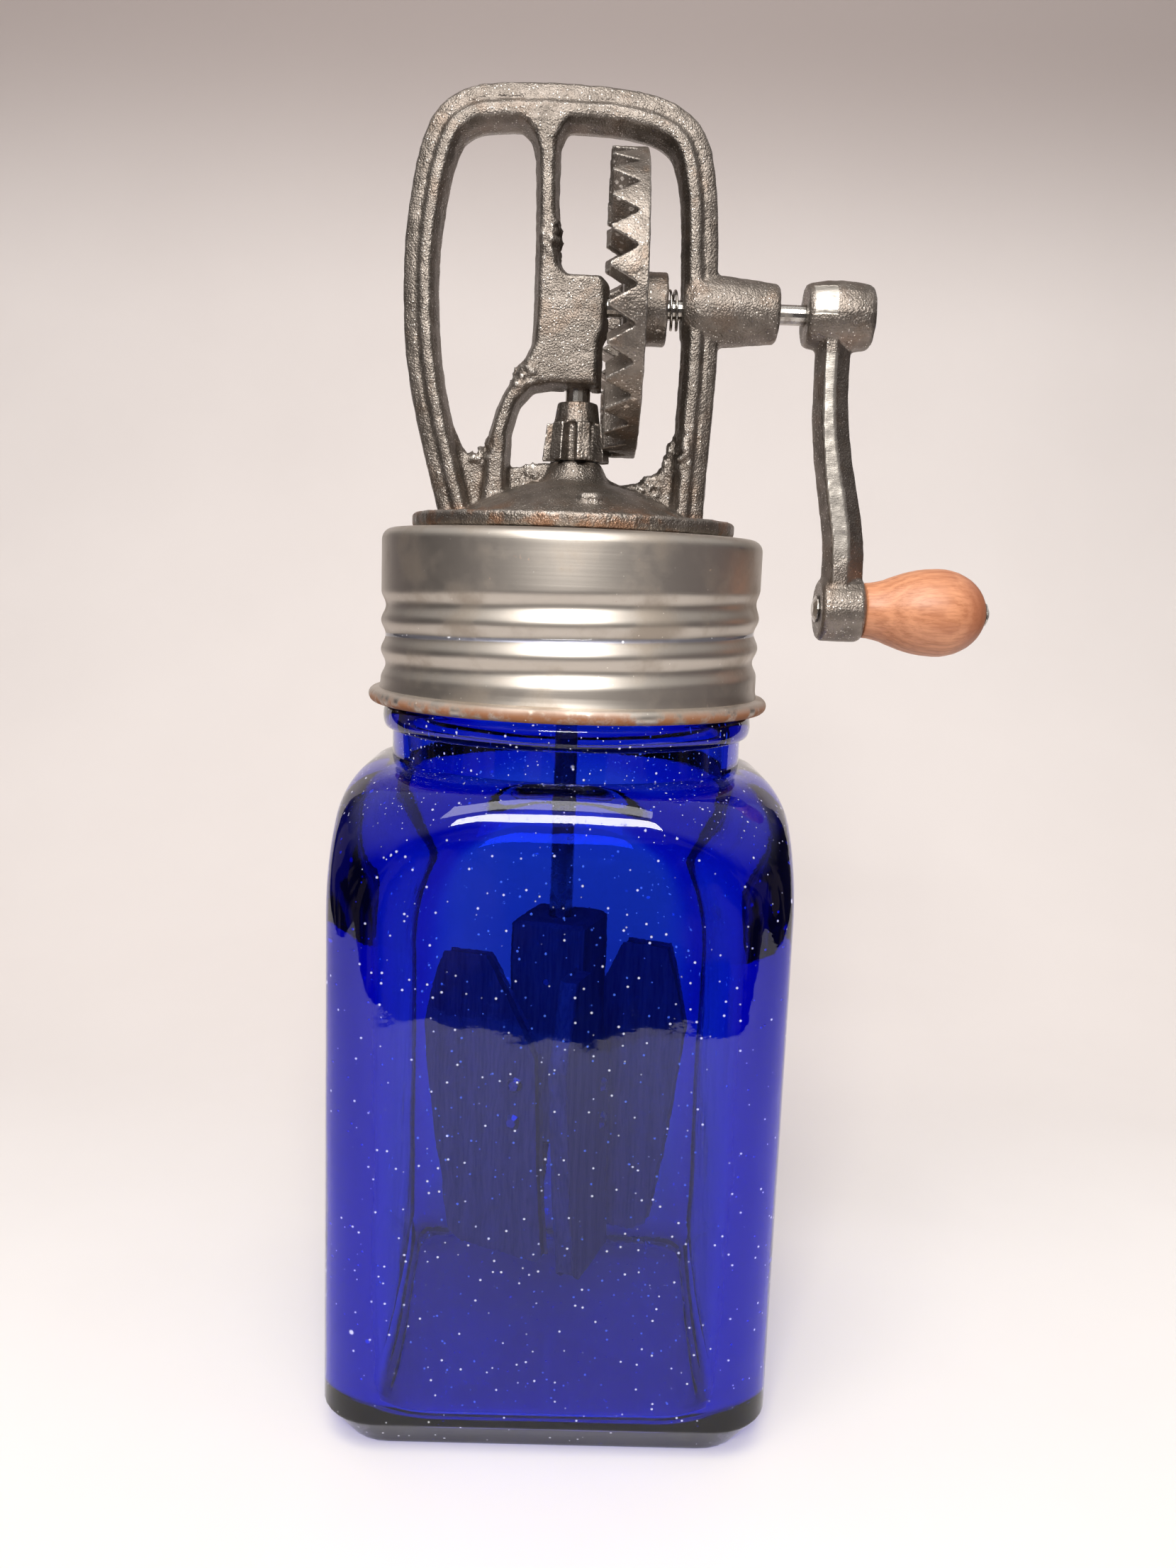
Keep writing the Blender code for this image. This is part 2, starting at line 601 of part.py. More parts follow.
def post_and_block_outline():
    """The middle post, the bearing block and its curved leg, anticlockwise from the post's top left."""
    post_left = POST_X - 0.5 * POST_WIDTH
    post_right = POST_X + 0.5 * POST_WIDTH
    top = ARCH_INNER_TOP
    flare = 0.5 * POST_WIDTH
    leg_top = BLOCK_BOTTOM
    leg_rise = leg_top - FLANGE_TOP
    foot_left = LEG_FOOT_X - 0.5 * LEG_FOOT_WIDTH
    foot_right = LEG_FOOT_X + 0.5 * LEG_FOOT_WIDTH
    block_top = CRANK_Z + BLOCK_ABOVE_AXIS
    block_left = post_left
    step = BLOCK_FACE_X - BLOCK_STEP
    boss_foot = CRANK_Z - 1.25 * BLOCK_ABOVE_AXIS
    return [
        (post_left - 2.2 * flare, top + flare),
        (post_left - 1.2 * flare, top - 0.1 * flare),
        (post_left - 0.5 * flare, top - 0.8 * flare),
        (post_left - 0.15 * flare, top - 2.0 * flare),
        (post_left, top - 7.0 * flare),
        (block_left, CRANK_Z - 0.4 * BLOCK_ABOVE_AXIS),
        (block_left - 0.15 * LEG_BEND, CRANK_Z - 1.3 * BLOCK_ABOVE_AXIS),
        (block_left - 0.5 * LEG_BEND, leg_top + 0.27 * leg_rise),
        (block_left - 1.5 * LEG_BEND, leg_top + 0.10 * leg_rise),
        (block_left - 2.5 * LEG_BEND, leg_top - 0.04 * leg_rise),
        (block_left - 3.1 * LEG_BEND, leg_top - 0.17 * leg_rise),
        (foot_left + 0.32 * LEG_FOOT_WIDTH, leg_top - 0.35 * leg_rise),
        (foot_left + 0.20 * LEG_FOOT_WIDTH, leg_top - 0.60 * leg_rise),
        (foot_left, leg_top - 1.05 * leg_rise),
        (foot_right, leg_top - 1.05 * leg_rise),
        (foot_right - 0.02 * LEG_FOOT_WIDTH, leg_top - 0.60 * leg_rise),
        (foot_right + 0.02 * LEG_FOOT_WIDTH, leg_top - 0.35 * leg_rise),
        (foot_right + 0.25 * LEG_FOOT_WIDTH, leg_top - 0.14 * leg_rise),
        (foot_right + 0.62 * LEG_FOOT_WIDTH, leg_top - 0.03 * leg_rise),
        (foot_right + 1.15 * LEG_FOOT_WIDTH, leg_top),
        (step, leg_top),
        (step, boss_foot),
        (BLOCK_FACE_X, boss_foot + 0.3 * BLOCK_ABOVE_AXIS),
        (BLOCK_FACE_X, block_top - 0.3 * BLOCK_ABOVE_AXIS),
        (BLOCK_FACE_X - 0.3 * BLOCK_ABOVE_AXIS, block_top),
        (post_right + 0.6 * flare, block_top),
        (post_right + 0.1 * flare, block_top + 0.5 * flare),
        (post_right, block_top + 1.3 * flare),
        (post_right - 0.2 * flare, top - 5.0 * flare),
        (post_right - 0.2 * flare, top - 1.2 * flare),
        (post_right + 0.2 * flare, top - 0.3 * flare),
        (post_right + 1.1 * flare, top + flare),
    ]


# The thin web along the parting plane, from the left limb over the boss to the right limb: share of the
# reach to that side, and share of the base boss's height above the flange
WEB_shares = (
    (-0.78, 1.9), (-0.70, 1.55), (-0.64, 1.15), (-0.585, 1.08), (-0.53, 1.25), (-0.40, 1.0), (-0.37, 0.88),
    (-0.28, 0.90), (-0.19, 0.99), (0.19, 0.99), (0.235, 0.74), (0.33, 0.64), (0.48, 0.70),
    (0.62, 0.92), (0.66, 1.22), (0.72, 1.6), (0.80, 1.75),
)


def web_outline():
    height = BASE_BOSS_TOP - FLANGE_TOP
    top = []
    for x, z in WEB_shares:
        reach = ARCH_LEFT_REACH if x < 0.0 else ARCH_RIGHT_REACH
        top.append((x * reach, FLANGE_TOP + z * height))
    sink = FLANGE_TOP - 0.5 * FLANGE_THICKNESS
    return [(top[0][0], sink), (top[-1][0], sink)] + top[::-1]


DOME_RADIUS_shares = (1.0, 0.85, 0.68, 0.5)


def make_flange(carrier):
    """The round foot of the frame: flange, low dome and the boss that the pinion runs on."""
    low = above_cap(FLANGE_BOTTOM)
    top = above_cap(FLANGE_TOP)
    dome = []
    for share in DOME_RADIUS_shares:
        dome.append((share * DOME_RADIUS, top + DOME_HEIGHT * (1.0 - share * share)))
    boss_share = BASE_BOSS_FOOT / DOME_RADIUS
    dome.append((BASE_BOSS_FOOT, top + DOME_HEIGHT * (1.0 - boss_share * boss_share)))
    boss_top = above_cap(BASE_BOSS_TOP)
    boss_low = dome[-1][1]
    dome += [
        (0.5 * (BASE_BOSS_FOOT + BASE_BOSS_RADIUS), boss_low + 0.25 * (boss_top - boss_low)),
        (BASE_BOSS_RADIUS, boss_top - FLANGE_ROUNDING),
        (BASE_BOSS_RADIUS - FLANGE_ROUNDING, boss_top),
    ]
    profile = [
        (FLANGE_RADIUS - FLANGE_ROUNDING, low),
        (FLANGE_RADIUS, low + FLANGE_ROUNDING),
        (FLANGE_RADIUS, top - FLANGE_ROUNDING),
        (FLANGE_RADIUS - FLANGE_ROUNDING, top),
    ]
    return add_solid("cast_frame", turned(profile + dome, 36), carrier, "cast_iron")


def make_lug(angle, carrier):
    """An oval pad on the dome, over the end of one of the screws."""
    share = SCREW_CIRCLE / DOME_RADIUS
    height = above_cap(FLANGE_TOP) + DOME_HEIGHT * (1.0 - share * share) + LUG_HEIGHT
    profile = [(1.0, above_cap(FLANGE_TOP) - OVERRUN), (1.0, height - 0.5 * LUG_HEIGHT), (0.7, height)]
    bm = turned(profile, 14)
    flatten = Matrix.Diagonal((0.5 * LUG_WIDTH, 0.5 * LUG_LENGTH, 1.0, 1.0))
    place = Matrix.Translation(screw_place(angle)) @ Matrix.Rotation(angle, 4, "Z")
    bmesh.ops.transform(bm, matrix=place @ flatten, verts=bm.verts)
    return add_solid("lug_tool", bm, carrier, "cast_iron")


def make_bearing(carrier):
    """The tapered crank bearing through the right limb."""
    root = ARCH_RIGHT_REACH - BEARING_X
    profile = [
        (BEARING_INNER_RADIUS, 0.0),
        (BEARING_ROOT_RADIUS, 0.35 * root),
        (BEARING_ROOT_RADIUS, root),
        (BEARING_END_RADIUS, BEARING_LENGTH - BEARING_ROUNDING),
        (BEARING_END_RADIUS - BEARING_ROUNDING, BEARING_LENGTH),
    ]
    bm = along_x(turned(profile, 20), BEARING_X)
    bmesh.ops.translate(bm, verts=bm.verts, vec=(0.0, 0.0, above_cap(CRANK_Z)))
    return add_solid("bearing_tool", bm, carrier, "cast_iron")


def make_cast_frame(carrier):
    frame = make_flange(carrier)
    combine(frame, make_arch(carrier), "UNION")
    post = cast_plate([(x, above_cap(z)) for x, z in post_and_block_outline()],
                      PLATE_HALF_DEPTH, PLATE_DRAFT, PLATE_EDGE)
    combine(frame, add_solid("post_tool", post, carrier, "cast_iron"), "UNION")
    web = cast_plate([(x, above_cap(z)) for x, z in web_outline()], WEB_HALF_DEPTH, WEB_DRAFT, WEB_EDGE)
    combine(frame, add_solid("web_tool", web, carrier, "cast_iron"), "UNION")
    combine(frame, make_bearing(carrier), "UNION")
    for angle in screw_angles():
        combine(frame, make_lug(angle, carrier), "UNION")
    tools = [
        rod(SHAFT_RADIUS + RUNNING_FIT, above_cap(FLANGE_BOTTOM) - OVERRUN, above_cap(SHAFT_TOP) + SEAT_GAP),
        along_x(rod(CRANK_SHAFT_RADIUS + RUNNING_FIT, CRANK_BORE_END_X, BEARING_END_X + OVERRUN)),
    ]
    bmesh.ops.translate(tools[1], verts=tools[1].verts, vec=(0.0, 0.0, above_cap(CRANK_Z)))
    for angle in screw_angles():
        hole = rod(CAP_SCREW_RADIUS + RUNNING_FIT, above_cap(FLANGE_BOTTOM) - OVERRUN,
                   above_cap(FLANGE_TOP) + CAP_SCREW_BITE, 12)
        bmesh.ops.translate(hole, verts=hole.verts, vec=screw_place(angle))
        tools.append(hole)
    for tool in tools:
        combine(frame, add_solid("frame_bore_tool", tool, carrier, "cast_iron"), "DIFFERENCE")
    return frame


# The crown gear, in the frame of the crank's axis
GEAR_TIP_share = 0.06
GEAR_ROOT_share = 0.04
BORE_CHAMFER = 0.0004


def gear_ring(radius, x, notch=0.0):
    """A ring with four points to a tooth. A notch sets the points between the teeth back."""
    pitch = FULL_TURN / GEAR_TEETH
    ring = []
    for tooth in range(GEAR_TEETH):
        for share, depth in ((-GEAR_TIP_share, 0.0), (GEAR_TIP_share, 0.0),
                             (0.5 - GEAR_ROOT_share, notch), (0.5 + GEAR_ROOT_share, notch)):
            angle = (tooth + share) * pitch
            ring.append((x + depth, radius * math.sin(angle), -radius * math.cos(angle)))
    return ring


def plain_gear_ring(radius, x):
    """A ring with one point to a tooth, for the hub and the flat faces."""
    return gear_ring(radius, x)[::4]


def make_crown_gear(carrier):
    inner = GEAR_RADIUS - GEAR_TOOTH_FACE
    inner_depth = GEAR_TOOTH_DEPTH * inner / GEAR_RADIUS
    bore = CRANK_SHAFT_RADIUS + RUNNING_FIT
    rings = [
        plain_gear_ring(bore, GEAR_WEB_X - GEAR_BACK_RIM),
        plain_gear_ring(GEAR_HUB_RADIUS - BORE_CHAMFER, GEAR_WEB_X - GEAR_BACK_RIM),
        plain_gear_ring(GEAR_HUB_RADIUS, GEAR_WEB_X),
        gear_ring(inner - BORE_CHAMFER, GEAR_WEB_X),
        gear_ring(inner, GEAR_TIP_X, inner_depth),
        gear_ring(GEAR_RADIUS, GEAR_TIP_X, GEAR_TOOTH_DEPTH),
        gear_ring(GEAR_RADIUS, GEAR_BACK_X),
        plain_gear_ring(inner, GEAR_BACK_X),
        plain_gear_ring(inner - GEAR_BACK_RIM, GEAR_WEB_BACK_X),
        plain_gear_ring(GEAR_HUB_RADIUS, GEAR_WEB_BACK_X),
        plain_gear_ring(GEAR_HUB_RADIUS, GEAR_HUB_END_X - BORE_CHAMFER),
        plain_gear_ring(GEAR_HUB_RADIUS - BORE_CHAMFER, GEAR_HUB_END_X),
        plain_gear_ring(bore, GEAR_HUB_END_X),
    ]
    gear = add_solid("crown_gear", ring_loft(rings, closed=True), carrier, "cast_iron")
    cut_pin_hole(gear, carrier, PIN_RADIUS, gear_pin_x(), 0.0, GEAR_HUB_RADIUS)
    return gear


def gear_pin_x():
    return 0.5 * (GEAR_BACK_X + GEAR_HUB_END_X)


def cut_pin_hole(piece, carrier, radius, x, z, hub_radius):
    """A blind cross hole from the back of a hub."""
    tool = rod_across(radius + RUNNING_FIT, x, z, PIN_COVER - hub_radius - RUNNING_FIT, hub_radius + OVERRUN)
    return combine(piece, add_solid("pin_hole_tool", tool, carrier, "cast_iron"), "DIFFERENCE")


def make_cross_pin(name, carrier, radius, x, z, hub_radius):
    pin = rod_across(radius, x, z, PIN_COVER - hub_radius, hub_radius - PIN_SINK)
    return add_solid(name, pin, carrier, "bright_steel")


def make_crank_shaft(carrier):
    start = CRANK_BORE_END_X + SEAT_GAP
    end = CRANK_HUB_END_X - PIN_SINK
    shaft = add_solid("crank_shaft", along_x(rod(CRANK_SHAFT_RADIUS, start, end)), carrier, "bright_steel")
    cut_pin_hole(shaft, carrier, PIN_RADIUS, gear_pin_x(), 0.0, GEAR_HUB_RADIUS)
    cut_pin_hole(shaft, carrier, PIN_RADIUS, crank_pin_x(), 0.0, CRANK_HUB_RADIUS)
    return shaft


def crank_pin_x():
    return CRANK_HUB_X + 0.5 * CRANK_HUB_LENGTH


SPRING_STEPS = 10


def make_thrust_spring(carrier):
    """A coil that holds the gear against the pinion. Its ends rest on the hub and on the bearing."""
    wire = 0.5 * SPRING_WIRE
    start = GEAR_HUB_END_X + SEAT_GAP + wire
    end = BEARING_X - SEAT_GAP - wire
    count = round(SPRING_TURNS * SPRING_STEPS)
    points = []
    for step in range(count + 1):
        angle = FULL_TURN * SPRING_TURNS * step / count
        points.append(Vector((start + (end - start) * step / count,
                              SPRING_RADIUS * math.sin(angle), SPRING_RADIUS * math.cos(angle))))
    least = min((points[k] - points[k + SPRING_STEPS]).length for k in range(count + 1 - SPRING_STEPS))
    print("thrust_spring least gap between turns (mm):", round((least - SPRING_WIRE) * 1000.0, 3))
    curve = bpy.data.curves.new("thrust_spring", "CURVE")
    curve.dimensions = "3D"
    curve.bevel_depth = wire
    curve.bevel_resolution = 1
    curve.use_fill_caps = True
    line = curve.splines.new("POLY")
    line.points.add(count)
    for point, place in zip(line.points, points):
        point.co = (*place, 1.0)
    curve.materials.append(finish_named("bright_steel"))
    spring = bpy.data.objects.new("thrust_spring", curve)
    spring.parent = carrier
    bpy.context.scene.collection.objects.link(spring)
    return spring


# The crank arm: share of the throw down from the shaft, sideways shift of its middle and half width as
# shares of the usual half width, and half width of the ground land
ARM_shares = (
    (0.06, 1.60, 0.95, 0.28), (0.20, 1.60, 0.92, 0.27), (0.34, 1.68, 0.96, 0.28), (0.48, 1.96, 1.02, 0.34),
    (0.62, 2.38, 1.08, 0.42), (0.76, 2.76, 1.10, 0.43), (0.88, 2.84, 1.12, 0.40), (1.0, 2.80, 1.10, 0.34),
)
ARM_LAND_SHIFT_share = -0.32
CRANK_HUB_shares = ((0.84, 0.0), (0.91, 0.06), (0.98, 0.30), (1.0, 0.5), (0.98, 0.72), (0.92, 0.93),
                    (0.84, 1.0))


def make_crank_arm(carrier):
    """One casting: barrel hub, S-curved arm of hexagonal section with a ground land, and end boss."""
    rings = []
    for drop, shift, wide, land in smooth_path(ARM_shares, 2):
        x = CRANK_HUB_X + shift * ARM_HALF_WIDTH
        half = wide * ARM_HALF_WIDTH
        flat = land * ARM_HALF_WIDTH
        lean = x + ARM_LAND_SHIFT_share * half
        side = 0.35 * ARM_HALF_DEPTH
        outline = (
            (lean - flat, -ARM_HALF_DEPTH),
            (lean + flat, -ARM_HALF_DEPTH),
            (x + 0.9 * half, -side),
            (x + half, 0.0),
            (x + 0.9 * half, side),
            (lean + flat, ARM_HALF_DEPTH),
            (lean - flat, ARM_HALF_DEPTH),
            (x - 0.9 * half, side),
            (x - half, 0.0),
            (x - 0.9 * half, -side),
        )
        rings.append([(px, py, -drop * CRANK_THROW) for px, py in outline])
    arm = add_solid("crank_arm", ring_loft(rings), carrier, "cast_iron")
    hub = along_x(turned([(r * CRANK_HUB_RADIUS, t * CRANK_HUB_LENGTH) for r, t in CRANK_HUB_shares], 20),
                  CRANK_HUB_X)
    combine(arm, add_solid("crank_hub_tool", hub, carrier, "cast_iron"), "UNION")
    profile = [
        (ARM_BOSS_RADIUS - ARM_ROUNDING, 0.0),
        (ARM_BOSS_RADIUS, ARM_ROUNDING),
        (ARM_BOSS_RADIUS, ARM_BOSS_LENGTH - ARM_ROUNDING),
        (ARM_BOSS_RADIUS - ARM_ROUNDING, ARM_BOSS_LENGTH),
    ]
    boss = along_x(turned(profile, 20), ARM_BOSS_X)
    bmesh.ops.translate(boss, verts=boss.verts, vec=(0.0, 0.0, -CRANK_THROW))
    combine(arm, add_solid("arm_boss_tool", boss, carrier, "cast_iron"), "UNION")
    shaft_hole = along_x(rod(CRANK_SHAFT_RADIUS + RUNNING_FIT, CRANK_HUB_X - OVERRUN,
                             CRANK_HUB_END_X + OVERRUN))
    combine(arm, add_solid("crank_bore_tool", shaft_hole, carrier, "cast_iron"), "DIFFERENCE")
    rivet_hole = along_x(rod(RIVET_RADIUS + RUNNING_FIT, ARM_BOSS_X - ARM_BOSS_LENGTH,
                             ARM_BOSS_END_X + OVERRUN, 16))
    bmesh.ops.translate(rivet_hole, verts=rivet_hole.verts, vec=(0.0, 0.0, -CRANK_THROW))
    combine(arm, add_solid("rivet_hole_tool", rivet_hole, carrier, "cast_iron"), "DIFFERENCE")
    cut_pin_hole(arm, carrier, PIN_RADIUS, crank_pin_x(), 0.0, CRANK_HUB_RADIUS)
    return arm


# The wooden handle: share of its largest radius, and share of its length from the crank outwards
HANDLE_shares = (
    (0.62, 0.0), (0.635, 0.06), (0.70, 0.16), (0.82, 0.27), (0.91, 0.37), (0.98, 0.50), (1.0, 0.60),
    (0.97, 0.71), (0.86, 0.82), (0.70, 0.905), (0.50, 0.965), (0.34, 1.0),
)


def make_wooden_handle(carrier):
    """A turned pear-shaped grip that spins on its rivet, in the frame of the rivet's axis."""
    bore = RIVET_RADIUS + RUNNING_FIT
    profile = [(bore, HANDLE_X)]
    profile += [(r * HANDLE_RADIUS, HANDLE_X + t * HANDLE_LENGTH) for r, t in HANDLE_shares]
    profile.append((bore, HANDLE_END_X))
    handle = along_x(turned(profile, 20, closed=True))
    return add_solid("wooden_handle", handle, carrier, "turned_wood", 60.0)


def make_handle_rivet(carrier):
    """The rivet through arm and handle: a low head at the grip's tip, its tail closed on the arm."""
    tail = ARM_BOSS_X - SEAT_GAP
    head = HANDLE_END_X + SEAT_GAP
    profile = [
        (0.5 * RIVET_TAIL_RADIUS, tail - RIVET_HEAD_HEIGHT),
        (RIVET_TAIL_RADIUS, tail - 0.3 * RIVET_HEAD_HEIGHT),
        (RIVET_TAIL_RADIUS, tail),
        (RIVET_RADIUS, tail),
        (RIVET_RADIUS, head),
        (RIVET_HEAD_RADIUS, head),
        (RIVET_HEAD_RADIUS, head + 0.3 * RIVET_HEAD_HEIGHT),
        (0.5 * RIVET_HEAD_RADIUS, head + RIVET_HEAD_HEIGHT),
    ]
    bm = along_x(turned(profile, 16))
    bmesh.ops.translate(bm, verts=bm.verts, vec=(0.0, 0.0, -CRANK_THROW))
    return add_solid("handle_rivet", bm, carrier, "bright_steel")


# The dasher, in the frame of its shaft with heights taken from the pinion's underside
def above_pinion(z):
    return z - PINION_BOTTOM


def make_dasher_shaft(carrier):
    low = above_pinion(SHAFT_BOTTOM)
    high = above_pinion(SHAFT_TOP)
    shaft = add_solid("dasher_shaft", rod(SHAFT_RADIUS, low, high), carrier, "bright_steel")
    cut_pin_hole(shaft, carrier, SMALL_PIN_RADIUS, 0.0, pinion_pin_z(), pinion_pin_hub())
    tool = rod_across(SMALL_PIN_RADIUS + RUNNING_FIT, 0.0, dasher_pin_z(), -BLOCK_HALF, BLOCK_HALF)
    combine(shaft, add_solid("dasher_pin_tool", face_turn(tool), carrier, "bright_steel"), "DIFFERENCE")
    return shaft


def pinion_pin_z():
    return PINION_FACE + 0.5 * PINION_HUB_LENGTH


def pinion_pin_hub():
    return 0.5 * (PINION_HUB_FOOT + PINION_HUB_TOP)


def dasher_pin_z():
    return above_pinion(BLOCK_TOP) - DASHER_PIN_DROP


def make_pinion(carrier):
    """The small gear: straight teeth that taper towards the top, under a conical hub."""
    tip_half = math.radians(PINION_TIP_HALF_DEG)
    root_half = math.radians(PINION_ROOT_HALF_DEG)
    pitch = FULL_TURN / PINION_TEETH

    def ring(tip, root, z):
        points = []
        for tooth in range(PINION_TEETH):
            middle = (tooth + 0.5) * pitch
            for radius, turn in ((root, -root_half), (tip, -tip_half), (tip, tip_half), (root, root_half)):
                points.append((radius * math.cos(middle + turn), radius * math.sin(middle + turn), z))
        return points

    bore = SHAFT_RADIUS + RUNNING_FIT
    top = PINION_FACE
    hub = PINION_HUB_LENGTH
    rings = [
        ring(bore, bore, 0.0),
        ring(PINION_RADIUS, PINION_ROOT_RADIUS, 0.0),
        ring(PINION_TOP_RADIUS, PINION_ROOT_RADIUS, top),
        ring(PINION_HUB_FOOT, PINION_ROOT_RADIUS, top),
        ring(PINION_HUB_FOOT, PINION_HUB_FOOT, top + RUNNING_FIT),
        ring(PINION_HUB_TOP, PINION_HUB_TOP, top + hub - BORE_CHAMFER),
        ring(PINION_HUB_TOP - BORE_CHAMFER, PINION_HUB_TOP - BORE_CHAMFER, top + hub),
        ring(bore, bore, top + hub),
    ]
    pinion = add_solid("pinion", ring_loft(rings, closed=True), carrier, "cast_iron")
    cut_pin_hole(pinion, carrier, SMALL_PIN_RADIUS, 0.0, pinion_pin_z(), pinion_pin_hub())
    return pinion


def make_dasher_block(carrier):
    """The square wooden hub, bored for the shaft and its pin, and for the paddle screws."""
    low = above_pinion(BLOCK_FOOT)
    high = above_pinion(BLOCK_TOP)
    rings = []
    for z, half in ((low, BLOCK_HALF - BLOCK_EDGE), (low + BLOCK_EDGE, BLOCK_HALF),
                    (high - BLOCK_EDGE, BLOCK_HALF), (high, BLOCK_HALF - BLOCK_EDGE)):
        cut = BLOCK_EDGE
        ring = []
        for quarter in range(4):
            turn = Matrix.Rotation(0.5 * math.pi * quarter, 3, "Z")
            ring.append(turn @ Vector((half, cut - half, z)))
            ring.append(turn @ Vector((half, half - cut, z)))
        rings.append(ring)
    block = add_solid("dasher_block", face_turn(ring_loft(rings)), carrier, "dasher_wood")
    pin_hole = rod_across(SMALL_PIN_RADIUS + RUNNING_FIT, 0.0, dasher_pin_z(), -BLOCK_HALF - OVERRUN,
                          BLOCK_HALF + OVERRUN)
    tools = [rod(SHAFT_RADIUS + RUNNING_FIT, low - OVERRUN, high + OVERRUN), face_turn(pin_hole)]
    for quarter in range(4):
        for height in screw_heights():
            hole = rod_across(PADDLE_SCREW_RADIUS + RUNNING_FIT, -screw_offset(), height,
                              -BLOCK_HALF - OVERRUN, PADDLE_SCREW_BITE - BLOCK_HALF, 8)
            tools.append(face_turn(hole, quarter))
    for tool in tools:
        combine(block, add_solid("block_bore_tool", tool, carrier, "dasher_wood"), "DIFFERENCE")
    return block


def face_turn(bm, quarter=0):
    """Turn a body made on the block's front face to one of its four faces, and to the dasher's rest angle."""
    turn = Matrix.Rotation(math.radians(DASHER_TURN_DEG) - 0.5 * math.pi * quarter, 4, "Z")
    bmesh.ops.transform(bm, matrix=turn, verts=bm.verts)
    return bm


def screw_offset():
    """How far the paddle screws stand from the middle of a face, towards the paddle's outer edge."""
    return 0.58 * BLOCK_HALF


SCREW_HEIGHT_shares = (0.12, 0.29)


def screw_heights():
    return [above_pinion(BLOCK_FOOT) + share * BLOCK_HEIGHT for share in SCREW_HEIGHT_shares]


# A paddle's outline: share of its reach from the block's middle, and share of its length from the bottom
PADDLE_shares = (
    (0.07, 0.0), (-0.60, 0.01), (-0.70, 0.04), (-1.0, 0.74), (-0.79, 1.0), (-0.46, 1.0), (-0.04, 0.68),
)


def make_paddle(name, quarter, carrier):
    """A thin tapered board, screwed flat to one face of the block and standing out past its corner."""
    near = BLOCK_HALF + SEAT_GAP
    outline = [(x * PADDLE_REACH, above_pinion(PADDLE_BOTTOM + z * PADDLE_LENGTH)) for x, z in PADDLE_shares]
    outline.reverse()
    layers = ((near, PADDLE_EDGE), (near + PADDLE_EDGE, 0.0),
              (near + PADDLE_THICKNESS - PADDLE_EDGE, 0.0), (near + PADDLE_THICKNESS, PADDLE_EDGE))
    rings = [[(p[0], -y, p[1]) for p in offset_outline(outline, -inset)] for y, inset in layers]
    paddle = add_solid(name, face_turn(ring_loft(rings), quarter), carrier, "dasher_wood")
    for height in screw_heights():
        hole = rod_across(PADDLE_SCREW_RADIUS + RUNNING_FIT, -screw_offset(), height,
                          -near - PADDLE_THICKNESS - OVERRUN, OVERRUN - near, 8)
        combine(paddle, add_solid("paddle_hole_tool", face_turn(hole, quarter), carrier, "dasher_wood"),
                "DIFFERENCE")
    return paddle


def make_paddle_screw(name, quarter, height, carrier):
    """A round-headed screw through the paddle into the block."""
    under_head = BLOCK_HALF + PADDLE_THICKNESS + 2.0 * SEAT_GAP
    tip = BLOCK_HALF - PADDLE_SCREW_BITE + SEAT_GAP
    profile = [
        (0.4 * PADDLE_SCREW_RADIUS, tip),
        (PADDLE_SCREW_RADIUS, tip + PADDLE_SCREW_RADIUS),
        (PADDLE_SCREW_RADIUS, under_head),
        (PADDLE_SCREW_HEAD_RADIUS, under_head),
        (0.6 * PADDLE_SCREW_HEAD_RADIUS, under_head + PADDLE_SCREW_HEAD),
    ]
    bm = turned(profile, 8)
    lay = Matrix.Translation((-screw_offset(), 0.0, height)) @ Matrix.Rotation(math.radians(90.0), 4, "X")
    bmesh.ops.transform(bm, matrix=lay, verts=bm.verts)
    return add_solid(name, face_turn(bm, quarter), carrier, "bright_steel")


def build_jar():
    carrier = add_axis("jar_base", (0.0, 0.0, 0.0))
    make_glass_jar(carrier)


def build_head():
    gasket_carrier = add_axis("gasket_seat", (0.0, 0.0, GASKET_BOTTOM))
    make_cap_gasket(gasket_carrier)
    carrier = add_axis("cap_axis", (0.0, 0.0, CAP_TOP))
    make_screw_cap(carrier)
    make_cast_frame(carrier)
    for number, angle in enumerate(screw_angles(), 1):
        make_cap_screw("cap_screw_%d" % number, angle, carrier)


def build_crank():
    carrier = add_axis("crank_axis", (0.0, 0.0, CRANK_Z))
    make_crown_gear(carrier)
    make_cross_pin("gear_pin", carrier, PIN_RADIUS, gear_pin_x(), 0.0, GEAR_HUB_RADIUS)
    make_crank_shaft(carrier)
    make_thrust_spring(carrier)
    make_crank_arm(carrier)
    make_cross_pin("crank_pin", carrier, PIN_RADIUS, crank_pin_x(), 0.0, CRANK_HUB_RADIUS)
    make_handle_rivet(carrier)
    make_wooden_handle(add_axis("handle_axis", (0.0, 0.0, HANDLE_Z)))


def build_dasher():
    carrier = add_axis("dasher_axis", (0.0, 0.0, PINION_BOTTOM))
    make_dasher_shaft(carrier)
    make_pinion(carrier)
    make_cross_pin("pinion_pin", carrier, SMALL_PIN_RADIUS, 0.0, pinion_pin_z(), pinion_pin_hub())
    make_dasher_block(carrier)
    pin = rod_across(SMALL_PIN_RADIUS, 0.0, dasher_pin_z(), SEAT_GAP - BLOCK_HALF, BLOCK_HALF - SEAT_GAP)
    add_solid("dasher_pin", face_turn(pin), carrier, "bright_steel")
    number = 0
    for quarter in range(4):
        make_paddle("paddle_%d" % (quarter + 1), quarter, carrier)
        for height in screw_heights():
            number += 1
            make_paddle_screw("paddle_screw_%d" % number, quarter, height, carrier)


clear_scene()
build_jar()
build_head()
build_crank()
build_dasher()
